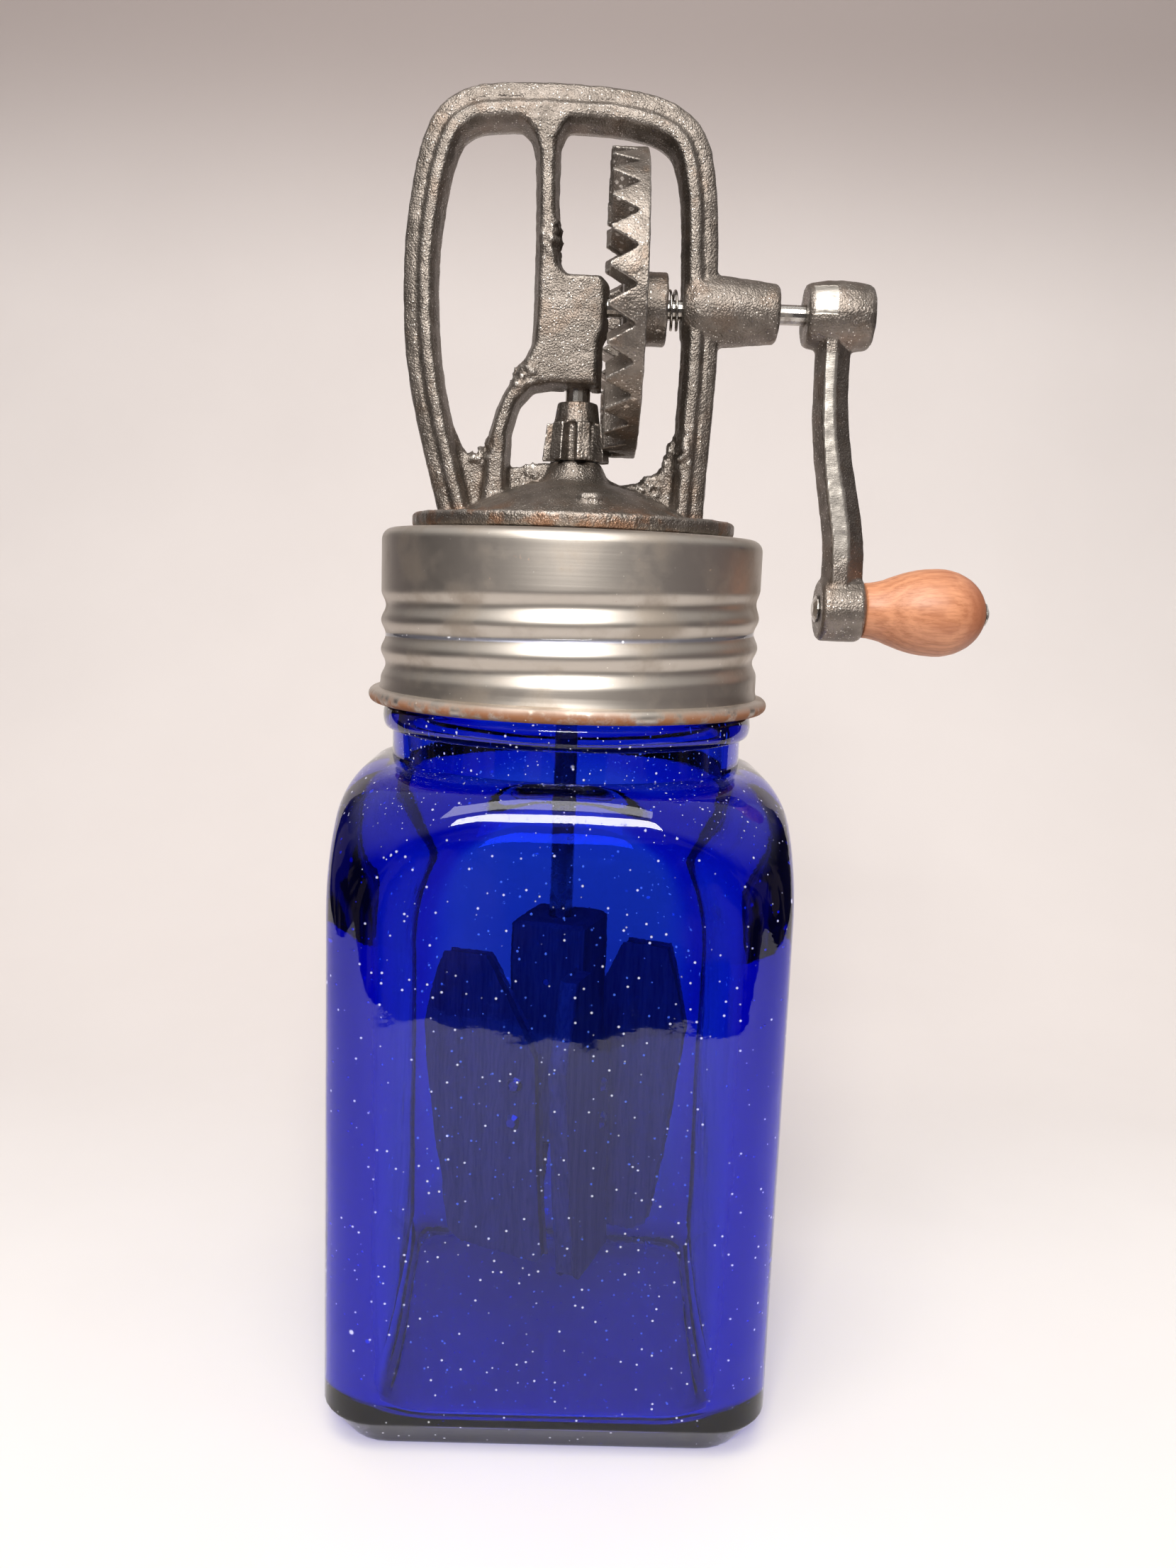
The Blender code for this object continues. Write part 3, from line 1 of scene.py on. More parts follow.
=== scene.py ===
# %% [markdown]
# # A hand cranked butter churn
#
# A square jar of cobalt-blue glass carries a screw cap of tinned steel, and on the cap stands an iron
# casting with a crank, a crown gear and a pinion. The pinion turns a wooden dasher in the jar. The model
# in real size comes from the frame, and this script dresses it: it makes the surfaces that the eye sees,
# in metres and in the same places, and never moves a piece.

# %% Load the frame
import math

import bmesh
import bpy
from mathutils import Matrix, Vector


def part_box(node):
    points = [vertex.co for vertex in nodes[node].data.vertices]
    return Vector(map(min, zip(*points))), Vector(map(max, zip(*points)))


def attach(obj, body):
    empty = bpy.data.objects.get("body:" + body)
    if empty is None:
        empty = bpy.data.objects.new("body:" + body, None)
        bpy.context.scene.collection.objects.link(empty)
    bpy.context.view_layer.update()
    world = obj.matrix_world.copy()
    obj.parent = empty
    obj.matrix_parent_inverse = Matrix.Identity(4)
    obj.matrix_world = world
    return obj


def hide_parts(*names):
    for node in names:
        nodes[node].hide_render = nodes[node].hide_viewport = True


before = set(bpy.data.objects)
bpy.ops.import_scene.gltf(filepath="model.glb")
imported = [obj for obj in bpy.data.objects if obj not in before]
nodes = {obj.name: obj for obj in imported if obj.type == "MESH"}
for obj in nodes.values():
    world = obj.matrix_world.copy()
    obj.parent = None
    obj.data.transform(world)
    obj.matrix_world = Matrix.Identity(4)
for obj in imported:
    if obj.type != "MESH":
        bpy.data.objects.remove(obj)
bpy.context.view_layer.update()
print("pieces in the frame:", len(nodes))

# %% [markdown]
# ## The studio
#
# The photograph looks slightly down from the front, with the camera turned a little about its own axis.
# A wide lens close by gives the strong perspective, so the camera's place matters as much as its angle.
# Yaw, tilt and roll are kept as three named angles and multiplied in that order.

# %% Camera
CAMERA_PLACE = Vector((0.0, -0.3396, 0.2165))
CAMERA_YAW = math.radians(-1.063)
CAMERA_DOWN = math.radians(9.098)
CAMERA_ROLL = math.radians(2.081)
CAMERA_LENS = 28.886

bpy.ops.object.camera_add(location=CAMERA_PLACE)
camera = bpy.context.object
camera.name = "camera"
camera.data.sensor_width = 36.0
camera.data.sensor_fit = "AUTO"
camera.data.lens = CAMERA_LENS
camera.data.clip_start = 0.01
turn = Matrix.Rotation(CAMERA_YAW, 4, "Z")
tilt = Matrix.Rotation(0.5 * math.pi - CAMERA_DOWN, 4, "X")
roll = Matrix.Rotation(CAMERA_ROLL, 4, "Z")
camera.matrix_world = Matrix.Translation(CAMERA_PLACE) @ turn @ tilt @ roll
bpy.context.scene.camera = camera
print("camera looks down by", round(math.degrees(CAMERA_DOWN), 1), "degrees")

# %% [markdown]
# Materials are node trees. Two small helpers keep them readable: one starts a material and returns its
# Principled shader, the other adds a node and fills its inputs by name.

# %% Helpers for node trees


def new_material(name):
    material = bpy.data.materials.new(name)
    material.use_nodes = True
    tree = material.node_tree
    return material, tree, tree.nodes["Principled BSDF"]


def add_node(tree, kind, inputs=None, **settings):
    """Add a node, set its own settings, and fill its inputs with values or with other nodes' outputs."""
    made = tree.nodes.new(kind)
    for setting, value in settings.items():
        setattr(made, setting, value)
    for socket, value in (inputs or {}).items():
        if isinstance(value, bpy.types.NodeSocket):
            tree.links.new(value, made.inputs[socket])
        else:
            made.inputs[socket].default_value = value
    return made


def blend_colours(tree, factor, low, high):
    """A colour mix whose factor, and either colour, may come from another node."""
    made = add_node(tree, "ShaderNodeMix", {"Factor": factor}, data_type="RGBA")
    for socket, value in ((made.inputs[6], low), (made.inputs[7], high)):
        if isinstance(value, bpy.types.NodeSocket):
            tree.links.new(value, socket)
        else:
            socket.default_value = (*value, 1.0)
    return made.outputs[2]


def blend_values(tree, value, low, high):
    """Stretch a value from 0..1 to low..high."""
    made = add_node(tree, "ShaderNodeMapRange", {"Value": value, "To Min": low, "To Max": high})
    return made.outputs["Result"]


def smooth_step(tree, value, low, high):
    """0 below low, 1 above high, and a smooth rise between."""
    settings = {"Value": value, "From Min": low, "From Max": high}
    made = add_node(tree, "ShaderNodeMapRange", settings, interpolation_type="SMOOTHSTEP")
    return made.outputs["Result"]


def calculate(tree, operation, first, second=0.0):
    made = add_node(tree, "ShaderNodeMath", {0: first, 1: second}, operation=operation)
    return made.outputs[0]


def object_place(tree):
    """Where a point lies, in metres. All objects stand at the origin, so it is the same for all."""
    return add_node(tree, "ShaderNodeTexCoord").outputs["Object"]


print("node helpers are ready")

# %% [markdown]
# The backdrop is one narrow sheet: a floor that sweeps up into a wall close behind the churn, so no line
# shows between them. It is a grid primitive whose far part is rolled up along an arc. Beside the sheet and
# in front of it lies a dark room, and the jar's edges see that room through the glass. The paper's colour
# goes by place and is nearly white in front. The fall of the light is painted into it: painted shade turns
# it a pale pinkish grey behind, darker high up the wall, and a little darker towards the left.

# %% Backdrop sheet
SWEEP_WIDTH = 1.04
SHEET_FRONT = -0.36
SHEET_LENGTH = 3.6
SWEEP_START = 0.16
SWEEP_RADIUS = 0.42

bpy.ops.mesh.primitive_grid_add(x_subdivisions=4, y_subdivisions=160, size=1.0)
backdrop = bpy.context.object
backdrop.name = "backdrop"
quarter = 0.5 * math.pi * SWEEP_RADIUS
for corner in backdrop.data.vertices:
    corner.co.x *= SWEEP_WIDTH
    along = SHEET_FRONT + (corner.co.y + 0.5) * SHEET_LENGTH
    bent = min(max(along - SWEEP_START, 0.0), quarter) / SWEEP_RADIUS
    corner.co.y = min(along, SWEEP_START) + SWEEP_RADIUS * math.sin(bent)
    corner.co.z = SWEEP_RADIUS * (1.0 - math.cos(bent)) + max(along - SWEEP_START - quarter, 0.0)
bpy.ops.object.shade_smooth()
print("backdrop rises behind y =", SWEEP_START)

# %% Backdrop paper
FLOOR_WHITE = (0.93, 0.905, 0.89)
PAPER_BACK_PAINTED_SHADE = (0.84, 0.785, 0.757)
PAPER_MOTTLE_AND_PAINTED_SHADE = (0.43, 0.372, 0.353)

paper, tree, shader = new_material("paper")
place = object_place(tree)
parts = add_node(tree, "ShaderNodeSeparateXYZ", {"Vector": place})
# Painted shade: greyer going back, darker going up and darker to the left, for the fall of the lamps' light.
going_back = smooth_step(tree, parts.outputs["Y"], -0.06, 0.30)
going_up = smooth_step(tree, parts.outputs["Z"], 0.38, 0.60)
colour = blend_colours(tree, going_back, FLOOR_WHITE, PAPER_BACK_PAINTED_SHADE)
colour = blend_colours(tree, going_up, colour, PAPER_MOTTLE_AND_PAINTED_SHADE)
mottle = add_node(tree, "ShaderNodeTexNoise", {"Vector": place, "Scale": 9.0, "Detail": 4.0})
rightwards = smooth_step(tree, parts.outputs["X"], -0.40, 0.30)
shade = calculate(tree, "ADD", blend_values(tree, mottle.outputs["Fac"], 0.0, 0.14),
                  blend_values(tree, rightwards, 0.10, 0.0))
colour = blend_colours(tree, shade, colour, PAPER_MOTTLE_AND_PAINTED_SHADE)
tree.links.new(colour, shader.inputs["Base Color"])
shader.inputs["Roughness"].default_value = 0.9
shader.inputs["Specular IOR Level"].default_value = 0.1
backdrop.data.materials.append(paper)
print("paper colours run from floor to wall")

# %% [markdown]
# The key lamp stands nearly straight in front of the churn, above the camera, and throws the shadow back
# on the sheet, where it shows through the jar. A wider lamp hangs higher and nearer and lifts the floor.
# The world gives light only from above. The rest of it is a dark room with soft patches, for the metals
# to mirror.

# %% Lamps and world


def soft_lamp(name, place, aim, size, power, colour=(1.0, 1.0, 1.0)):
    bpy.ops.object.light_add(type="AREA", location=place)
    lamp = bpy.context.object
    lamp.name = name
    lamp.data.shape = "RECTANGLE"
    lamp.data.size = size[0]
    lamp.data.size_y = size[1]
    lamp.data.energy = power
    lamp.data.color = colour
    lamp.rotation_euler = (Vector(aim) - Vector(place)).to_track_quat("-Z", "Y").to_euler()
    return lamp


CHURN_MIDDLE = (0.0, 0.0, 0.17)
soft_lamp("key_lamp", (-0.06, -1.10, 0.84), CHURN_MIDDLE, (0.60, 0.35), 14.0, (1.0, 0.98, 0.955))
soft_lamp("top_lamp", (-0.12, -0.55, 1.20), CHURN_MIDDLE, (0.80, 0.50), 6.6, (1.0, 0.98, 0.96))

ROOM_LIGHT = (0.55, 0.53, 0.52, 1.0)
ROOM_DARK = (0.02, 0.018, 0.018, 1.0)
ROOM_FURNITURE = (0.17, 0.14, 0.15, 1.0)
world = bpy.data.worlds.new("room")
bpy.context.scene.world = world
world.use_nodes = True
tree = world.node_tree
facing = add_node(tree, "ShaderNodeTexCoord").outputs["Generated"]
toward = add_node(tree, "ShaderNodeSeparateXYZ", {"Vector": facing})
from_above = smooth_step(tree, toward.outputs["Z"], 0.22, 0.60)
clutter = add_node(tree, "ShaderNodeTexNoise",
                   {"Vector": facing, "Scale": 3.2, "Detail": 2.0, "Distortion": 0.6})
room = add_node(tree, "ShaderNodeMix", {"Factor": smooth_step(tree, clutter.outputs["Fac"], 0.50, 0.60)},
                data_type="RGBA")
room.inputs[6].default_value = ROOM_DARK
room.inputs[7].default_value = ROOM_FURNITURE
room_mix = add_node(tree, "ShaderNodeMix", {"Factor": from_above}, data_type="RGBA")
tree.links.new(room.outputs[2], room_mix.inputs[6])
room_mix.inputs[7].default_value = ROOM_LIGHT
tree.links.new(room_mix.outputs[2], tree.nodes["Background"].inputs["Color"])
bpy.context.scene.view_settings.view_transform = "Standard"

# %% [markdown]
# ## Effects that several materials share
#
# Each effect is a node group that puts out masks and heights. The first is the skin of a sand casting:
# fine grains on slow lumps, and here and there a grain whose top gets a painted glint. Its size is that of
# the real grains, in metres. Cells of a Voronoi pattern are the grains, and each one's own colour says
# whether it carries the painted glint.

# %% A group helper and the sand cast skin


def new_group(name, inputs, outputs):
    group = bpy.data.node_groups.new(name, "ShaderNodeTree")
    for socket, value in inputs.items():
        made = group.interface.new_socket(socket, in_out="INPUT", socket_type="NodeSocketFloat")
        made.default_value = value
    for socket in outputs:
        group.interface.new_socket(socket, in_out="OUTPUT", socket_type="NodeSocketFloat")
    entry = group.nodes.new("NodeGroupInput")
    result = group.nodes.new("NodeGroupOutput")
    return group, entry, result


def use_group(tree, group, **values):
    made = tree.nodes.new("ShaderNodeGroup")
    made.node_tree = group
    for socket, value in values.items():
        made.inputs[socket.replace("_", " ").capitalize()].default_value = value
    return made


cast_skin, entry, result = new_group("cast_skin", {"Grain size": 0.0005}, ["Height", "Sparkle", "Lumps"])
place = object_place(cast_skin)
rate = calculate(cast_skin, "DIVIDE", 1.0, entry.outputs["Grain size"])
slow_rate = calculate(cast_skin, "MULTIPLY", rate, 0.12)
grains = add_node(cast_skin, "ShaderNodeTexNoise",
                  {"Vector": place, "Scale": rate, "Detail": 3.0, "Roughness": 0.65})
lumps = add_node(cast_skin, "ShaderNodeTexNoise", {"Vector": place, "Scale": slow_rate, "Detail": 2.0})
cells = add_node(cast_skin, "ShaderNodeTexVoronoi",
                 {"Vector": place, "Scale": calculate(cast_skin, "MULTIPLY", rate, 1.1)})
domes = calculate(cast_skin, "SUBTRACT", 1.0, cells.outputs["Distance"])
height = calculate(cast_skin, "ADD", grains.outputs["Fac"], calculate(cast_skin, "MULTIPLY", domes, 0.6))
height = calculate(cast_skin, "ADD", height, calculate(cast_skin, "MULTIPLY", lumps.outputs["Fac"], 0.25))
# Painted glints: a share of the grains is picked to be pale on its top.
spread = add_node(cast_skin, "ShaderNodeSeparateColor", {"Color": cells.outputs["Color"]})
chosen = smooth_step(cast_skin, spread.outputs["Red"], 0.80, 0.92)
sparkle = calculate(cast_skin, "MULTIPLY", chosen, smooth_step(cast_skin, domes, 0.55, 0.85))
cast_skin.links.new(height, result.inputs["Height"])
cast_skin.links.new(sparkle, result.inputs["Sparkle"])
cast_skin.links.new(lumps.outputs["Fac"], result.inputs["Lumps"])
print("group:", cast_skin.name)

# %% [markdown]
# Patches are soft blots: stains, rust and worn places. Noise is cut at a level, and the softness says how
# wide its edge is. Worn edges come from the surface's own bend, which Blender calls pointiness. On the
# iron they are rubbed metal and also a painted highlight along the ridges.

# %% Patches and worn edges
patch_inputs = {"Size": 0.01, "Level": 0.55, "Softness": 0.1, "Seed": 0.0}
patches, entry, result = new_group("patches", patch_inputs, ["Mask"])
place = object_place(patches)
shifted = add_node(patches, "ShaderNodeVectorMath", {0: place, 1: entry.outputs["Seed"]}, operation="ADD")
rate = calculate(patches, "DIVIDE", 1.0, entry.outputs["Size"])
blots = add_node(patches, "ShaderNodeTexNoise",
                 {"Vector": shifted.outputs[0], "Scale": rate, "Detail": 5.0, "Roughness": 0.6})
upper = calculate(patches, "ADD", entry.outputs["Level"], entry.outputs["Softness"])
mask = smooth_step(patches, blots.outputs["Fac"], entry.outputs["Level"], upper)
patches.links.new(mask, result.inputs["Mask"])

worn_edges_and_painted_highlight, entry, result = new_group("worn_edges_and_painted_highlight", {"Low": 0.5, "High": 0.56}, ["Mask"])
bend = add_node(worn_edges_and_painted_highlight, "ShaderNodeNewGeometry").outputs["Pointiness"]
mask = smooth_step(worn_edges_and_painted_highlight, bend, entry.outputs["Low"], entry.outputs["High"])
worn_edges_and_painted_highlight.links.new(mask, result.inputs["Mask"])
print("groups:", [group.name for group in bpy.data.node_groups])

# %% [markdown]
# Dust and small flaws are single points. The space round the piece is divided into Voronoi cells, each cell
# holds one point, and a share of the points show as specks where the surface runs through them.

# %% Specks
specks, entry, result = new_group("specks", {"Spacing": 0.002, "Share": 0.3, "Speck": 0.12}, ["Mask"])
place = object_place(specks)
rate = calculate(specks, "DIVIDE", 1.0, entry.outputs["Spacing"])
cells = add_node(specks, "ShaderNodeTexVoronoi", {"Vector": place, "Scale": rate})
heart = calculate(specks, "MULTIPLY", entry.outputs["Speck"], 0.4)
within = calculate(specks, "SUBTRACT", 1.0, smooth_step(specks, cells.outputs["Distance"], heart,
                                                         entry.outputs["Speck"]))
drawn = add_node(specks, "ShaderNodeSeparateColor", {"Color": cells.outputs["Color"]}).outputs["Green"]
chosen = calculate(specks, "LESS_THAN", drawn, entry.outputs["Share"])
specks.links.new(calculate(specks, "MULTIPLY", within, chosen), result.inputs["Mask"])
print("group:", specks.name)

# %% [markdown]
# ## Metal finishes
#
# Bare cast iron is a warm grey, nearly black in its hollows and bright where hands rub it. Colour follows
# the lumps and the worn edges, and the bump of the sand skin breaks every highlight into sparkle. The pale
# colour on the edges is rubbed metal and also a painted highlight along the ridges.

# %% Cast iron
IRON_DARK = (0.175, 0.150, 0.128)
IRON_MIDDLE = (0.260, 0.225, 0.195)
IRON_WEAR_AND_PAINTED_LIGHT = (0.82, 0.77, 0.71)
IRON_BROWN = (0.23, 0.15, 0.10)


def cast_iron_finish(name, grain_size, bump_depth, brown=0.30):
    """Returns the tree too, with the colour that is in use, so that other masks can go over it."""
    material, tree, shader = new_material(name)
    skin = use_group(tree, cast_skin, grain_size=grain_size)
    stains = use_group(tree, patches, size=0.009, level=0.50, softness=0.16)
    edges = use_group(tree, worn_edges_and_painted_highlight, low=0.51, high=0.60)
    tone = smooth_step(tree, skin.outputs["Lumps"], 0.30, 0.70)
    body = blend_colours(tree, tone, IRON_DARK, IRON_MIDDLE)
    tinted = blend_colours(tree, calculate(tree, "MULTIPLY", stains.outputs["Mask"], brown), body, IRON_BROWN)
    # The pale colour on worn edges is rubbed metal and a painted highlight, and on the sparkle grains a
    # painted glint.
    bright = calculate(tree, "MAXIMUM", calculate(tree, "MULTIPLY", edges.outputs["Mask"], 0.70),
                       calculate(tree, "MULTIPLY", skin.outputs["Sparkle"], 0.9))
    colour = blend_colours(tree, bright, tinted, IRON_WEAR_AND_PAINTED_LIGHT)
    tree.links.new(colour, shader.inputs["Base Color"])
    shader.inputs["Metallic"].default_value = 0.92
    tree.links.new(blend_values(tree, bright, 0.42, 0.26), shader.inputs["Roughness"])
    bump = add_node(tree, "ShaderNodeBump", {"Strength": 0.85, "Distance": bump_depth,
                                             "Height": skin.outputs["Height"]})
    tree.links.new(bump.outputs["Normal"], shader.inputs["Normal"])
    return material, tree, shader, colour


FLANGE_TOP = 0.2365

iron, tree, shader, colour = cast_iron_finish("cast_iron", 0.00055, 0.00022)
height = add_node(tree, "ShaderNodeSeparateXYZ",
                  {"Vector": object_place(tree)}).outputs["Z"]
low_down = calculate(tree, "SUBTRACT", 1.0, smooth_step(tree, height, FLANGE_TOP - 0.004, FLANGE_TOP))
rusty = use_group(tree, patches, size=0.007, level=0.46, softness=0.16, seed=4.0)
rust_here = calculate(tree, "MULTIPLY", low_down, rusty.outputs["Mask"])
tree.links.new(blend_colours(tree, calculate(tree, "MULTIPLY", rust_here, 0.6), colour, (0.33, 0.16, 0.08)),
               shader.inputs["Base Color"])
gear_iron = cast_iron_finish("gear_iron", 0.0006, 0.00016, brown=0.50)[0]
print("iron finishes:", iron.name, gear_iron.name)

# %% [markdown]
# The crank was ground by hand after casting: a narrow land down the front of the arm, and a patch on the
# hub over the pin. There the metal is bare and brushed, so its mask goes by place, and the brush marks are
# noise that is squeezed along the land.

# %% Ground iron
LAND_DEPTH = 0.0054
LAND_LOW = 0.2215
LAND_HIGH = 0.2760
PATCH_LOW = (0.0588, 0.2852)
PATCH_HIGH = (0.0646, 0.2926)

ground_iron, tree, shader, colour = cast_iron_finish("ground_iron", 0.0006, 0.00018)
place = object_place(tree)
parts = add_node(tree, "ShaderNodeSeparateXYZ", {"Vector": place})
wander = add_node(tree, "ShaderNodeTexNoise", {"Vector": place, "Scale": 420.0, "Detail": 3.0})
ragged = blend_values(tree, wander.outputs["Fac"], -0.0007, 0.0007)
forward = calculate(tree, "MULTIPLY", parts.outputs["Y"], -1.0)
forward = calculate(tree, "ADD", forward, calculate(tree, "MULTIPLY", ragged, 0.35))
above_boss = smooth_step(tree, parts.outputs["Z"], LAND_LOW, LAND_LOW + 0.008)
below_hub = calculate(tree, "SUBTRACT", 1.0,
                      smooth_step(tree, parts.outputs["Z"], LAND_HIGH, LAND_HIGH + 0.0015))
land = calculate(tree, "MULTIPLY", smooth_step(tree, forward, LAND_DEPTH, LAND_DEPTH + 0.0005), below_hub)
land = calculate(tree, "MULTIPLY", land, above_boss)
across = calculate(tree, "ADD", parts.outputs["X"], ragged)
upwards = calculate(tree, "ADD", parts.outputs["Z"], ragged)
patch = smooth_step(tree, across, PATCH_LOW[0], PATCH_LOW[0] + 0.0005)
patch = calculate(tree, "SUBTRACT", patch, smooth_step(tree, across, PATCH_HIGH[0], PATCH_HIGH[0] + 0.0005))
patch = calculate(tree, "MULTIPLY", patch, smooth_step(tree, upwards, PATCH_LOW[1], PATCH_LOW[1] + 0.0005))
over = calculate(tree, "SUBTRACT", 1.0, smooth_step(tree, upwards, PATCH_HIGH[1], PATCH_HIGH[1] + 0.0005))
patch = calculate(tree, "MULTIPLY", patch, over)
patch = calculate(tree, "MULTIPLY", patch, smooth_step(tree, forward, 0.0040, 0.0050))
bare = calculate(tree, "MAXIMUM", land, patch)
brushed = add_node(tree, "ShaderNodeMapping", {"Vector": place, "Scale": (500.0, 500.0, 5000.0)})
marks = add_node(tree, "ShaderNodeTexNoise", {"Vector": brushed.outputs[0], "Scale": 1.0, "Detail": 3.0})
steel_tone = blend_colours(tree, marks.outputs["Fac"], (0.30, 0.275, 0.245), (0.66, 0.61, 0.545))
tree.links.new(blend_colours(tree, bare, colour, steel_tone), shader.inputs["Base Color"])
skin = use_group(tree, cast_skin, grain_size=0.0006)
calm = calculate(tree, "SUBTRACT", 1.0, calculate(tree, "MULTIPLY", bare, 0.9))
rough_part = calculate(tree, "MULTIPLY", skin.outputs["Height"], calm)
fine_part = calculate(tree, "MULTIPLY", calculate(tree, "MULTIPLY", marks.outputs["Fac"], bare), 0.3)
bump = add_node(tree, "ShaderNodeBump", {"Strength": 0.8, "Distance": 0.00018,
                                         "Height": calculate(tree, "ADD", rough_part, fine_part)})
tree.links.new(bump.outputs["Normal"], shader.inputs["Normal"])
print("ground places: land on the arm and patch on the hub")

# %% [markdown]
# Tinned sheet keeps faint rolling lines round the cap, dull stains and specks of rust. The lines are noise
# that is squeezed along Z. Rust gathers at the curled rim, where the tin has worn off, so its mask also
# looks at the height.

# %% Tinned steel
TIN = (0.57, 0.520, 0.462)
TIN_STAIN = (0.42, 0.355, 0.290)
RUST = (0.36, 0.155, 0.07)
CAP_LOW, CAP_HIGH = (corner.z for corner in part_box("screw_cap"))

tin, tree, shader = new_material("tinned_steel")
place = object_place(tree)
squeezed = add_node(tree, "ShaderNodeMapping", {"Vector": place, "Scale": (9.0, 9.0, 900.0)})
lines = add_node(tree, "ShaderNodeTexNoise", {"Vector": squeezed.outputs[0], "Scale": 1.0, "Detail": 4.0})
stains = use_group(tree, patches, size=0.016, level=0.47, softness=0.22, seed=3.0)
rust_specks = use_group(tree, patches, size=0.0016, level=0.70, softness=0.05, seed=7.0)
rusting = use_group(tree, patches, size=0.006, level=0.36, softness=0.2, seed=5.0)
height = add_node(tree, "ShaderNodeSeparateXYZ", {"Vector": place}).outputs["Z"]
near_rim = calculate(tree, "SUBTRACT", 1.0, smooth_step(tree, height, CAP_LOW + 0.0012, CAP_LOW + 0.0042))
rim_rust = calculate(tree, "MULTIPLY", near_rim, rusting.outputs["Mask"])
speck_rust = calculate(tree, "MULTIPLY", rust_specks.outputs["Mask"], 0.55)
rust_mask = calculate(tree, "MAXIMUM", rim_rust, speck_rust)
colour = blend_colours(tree, calculate(tree, "MULTIPLY", stains.outputs["Mask"], 0.75), TIN, TIN_STAIN)
pale = use_group(tree, specks, spacing=0.0026, share=0.5, speck=0.09)
colour = blend_colours(tree, rust_mask, colour, RUST)
pale_here = calculate(tree, "MULTIPLY", pale.outputs["Mask"], 0.8)
colour = blend_colours(tree, pale_here, colour, (0.85, 0.80, 0.72))
tree.links.new(colour, shader.inputs["Base Color"])
tree.links.new(blend_values(tree, rust_mask, 1.0, 0.25), shader.inputs["Metallic"])
gloss = calculate(tree, "ADD", blend_values(tree, stains.outputs["Mask"], 0.42, 0.56),
                  calculate(tree, "MULTIPLY", rust_mask, 0.4))
tree.links.new(gloss, shader.inputs["Roughness"])
bump = add_node(tree, "ShaderNodeBump",
                {"Strength": 0.25, "Distance": 0.00008, "Height": lines.outputs["Fac"]})
tree.links.new(bump.outputs["Normal"], shader.inputs["Normal"])
print("tinned steel rusts below z =", round(CAP_LOW + 0.0042, 4))

# %% [markdown]
# Pins, shafts, screws and the spring are plain drawn steel, with fine marks and a little brown.

# %% Drawn steel
steel, tree, shader = new_material("drawn_steel")
skin = use_group(tree, cast_skin, grain_size=0.0004)
stains = use_group(tree, patches, size=0.004, level=0.5, softness=0.2, seed=2.0)
colour = blend_colours(tree, calculate(tree, "MULTIPLY", stains.outputs["Mask"], 0.6),
                       (0.50, 0.475, 0.44), (0.24, 0.19, 0.15))
tree.links.new(colour, shader.inputs["Base Color"])
shader.inputs["Metallic"].default_value = 1.0
tree.links.new(blend_values(tree, stains.outputs["Mask"], 0.25, 0.5), shader.inputs["Roughness"])
bump = add_node(tree, "ShaderNodeBump",
                {"Strength": 0.3, "Distance": 0.00005, "Height": skin.outputs["Height"]})
tree.links.new(bump.outputs["Normal"], shader.inputs["Normal"])
print("steel is ready")

# %% [markdown]
# ## Glass
#
# Cobalt glass takes its colour from its thickness, so the blue sits in the volume, as absorption, and the
# surface stays clear. Edges and the base, where light runs through more glass, then turn dark by
# themselves. A slow ripple in the surface bends what is seen through it, as in pressed glass. Lamps shine
# through the jar onto what stands in it and under it, so for shadow rays the surface lets light straight
# through, and the volume tints it. Dust and small flaws are specks with a small bump and a faint glow. The
# glow is painted light, for the glints they catch. They lie thicker on the shoulder than on the faces.

# %% Cobalt glass
GLASS_BLUE = (0.0, 0.35, 0.93)
GLASS_DENSITY = 600.0
DUST_FROM = 0.150

glass, tree, shader = new_material("cobalt_glass")
shader.inputs["Base Color"].default_value = (0.93, 0.95, 1.0, 1.0)
shader.inputs["Roughness"].default_value = 0.02
shader.inputs["IOR"].default_value = 1.5
shader.inputs["Transmission Weight"].default_value = 1.0
place = object_place(tree)
ripple = add_node(tree, "ShaderNodeTexNoise", {"Vector": place, "Scale": 45.0, "Detail": 1.5})
grit = add_node(tree, "ShaderNodeTexNoise", {"Vector": place, "Scale": 900.0, "Detail": 2.0})
tall = add_node(tree, "ShaderNodeSeparateXYZ", {"Vector": place}).outputs["Z"]
dusty = smooth_step(tree, tall, DUST_FROM, DUST_FROM + 0.012)
dust = use_group(tree, specks, spacing=0.0016, speck=0.14)
tree.links.new(blend_values(tree, dusty, 0.05, 0.75), dust.inputs["Share"])
flaws = use_group(tree, specks, spacing=0.0030, share=0.50, speck=0.13)
flakes = use_group(tree, specks, spacing=0.0080, share=0.16, speck=0.10)
specks_with_painted_glints = calculate(tree, "MAXIMUM", dust.outputs["Mask"], flaws.outputs["Mask"])
specks_with_painted_glints = calculate(tree, "MAXIMUM", specks_with_painted_glints, flakes.outputs["Mask"])
# Painted glints: the specks of dust and flaws glow faintly.
tree.links.new(blend_colours(tree, specks_with_painted_glints, (0.0, 0.0, 0.0), (0.86, 0.85, 0.90)),
               shader.inputs["Emission Color"])
shader.inputs["Emission Strength"].default_value = 0.8
height = calculate(tree, "ADD", ripple.outputs["Fac"],
                   calculate(tree, "MULTIPLY", grit.outputs["Fac"], 0.012))
height = calculate(tree, "ADD", height, calculate(tree, "MULTIPLY", specks_with_painted_glints, 0.15))
bump = add_node(tree, "ShaderNodeBump", {"Strength": 0.35, "Distance": 0.0012, "Height": height})
tree.links.new(bump.outputs["Normal"], shader.inputs["Normal"])
absorb = add_node(tree, "ShaderNodeVolumeAbsorption",
                  {"Color": (*GLASS_BLUE, 1.0), "Density": GLASS_DENSITY})
tree.links.new(absorb.outputs["Volume"], tree.nodes["Material Output"].inputs["Volume"])
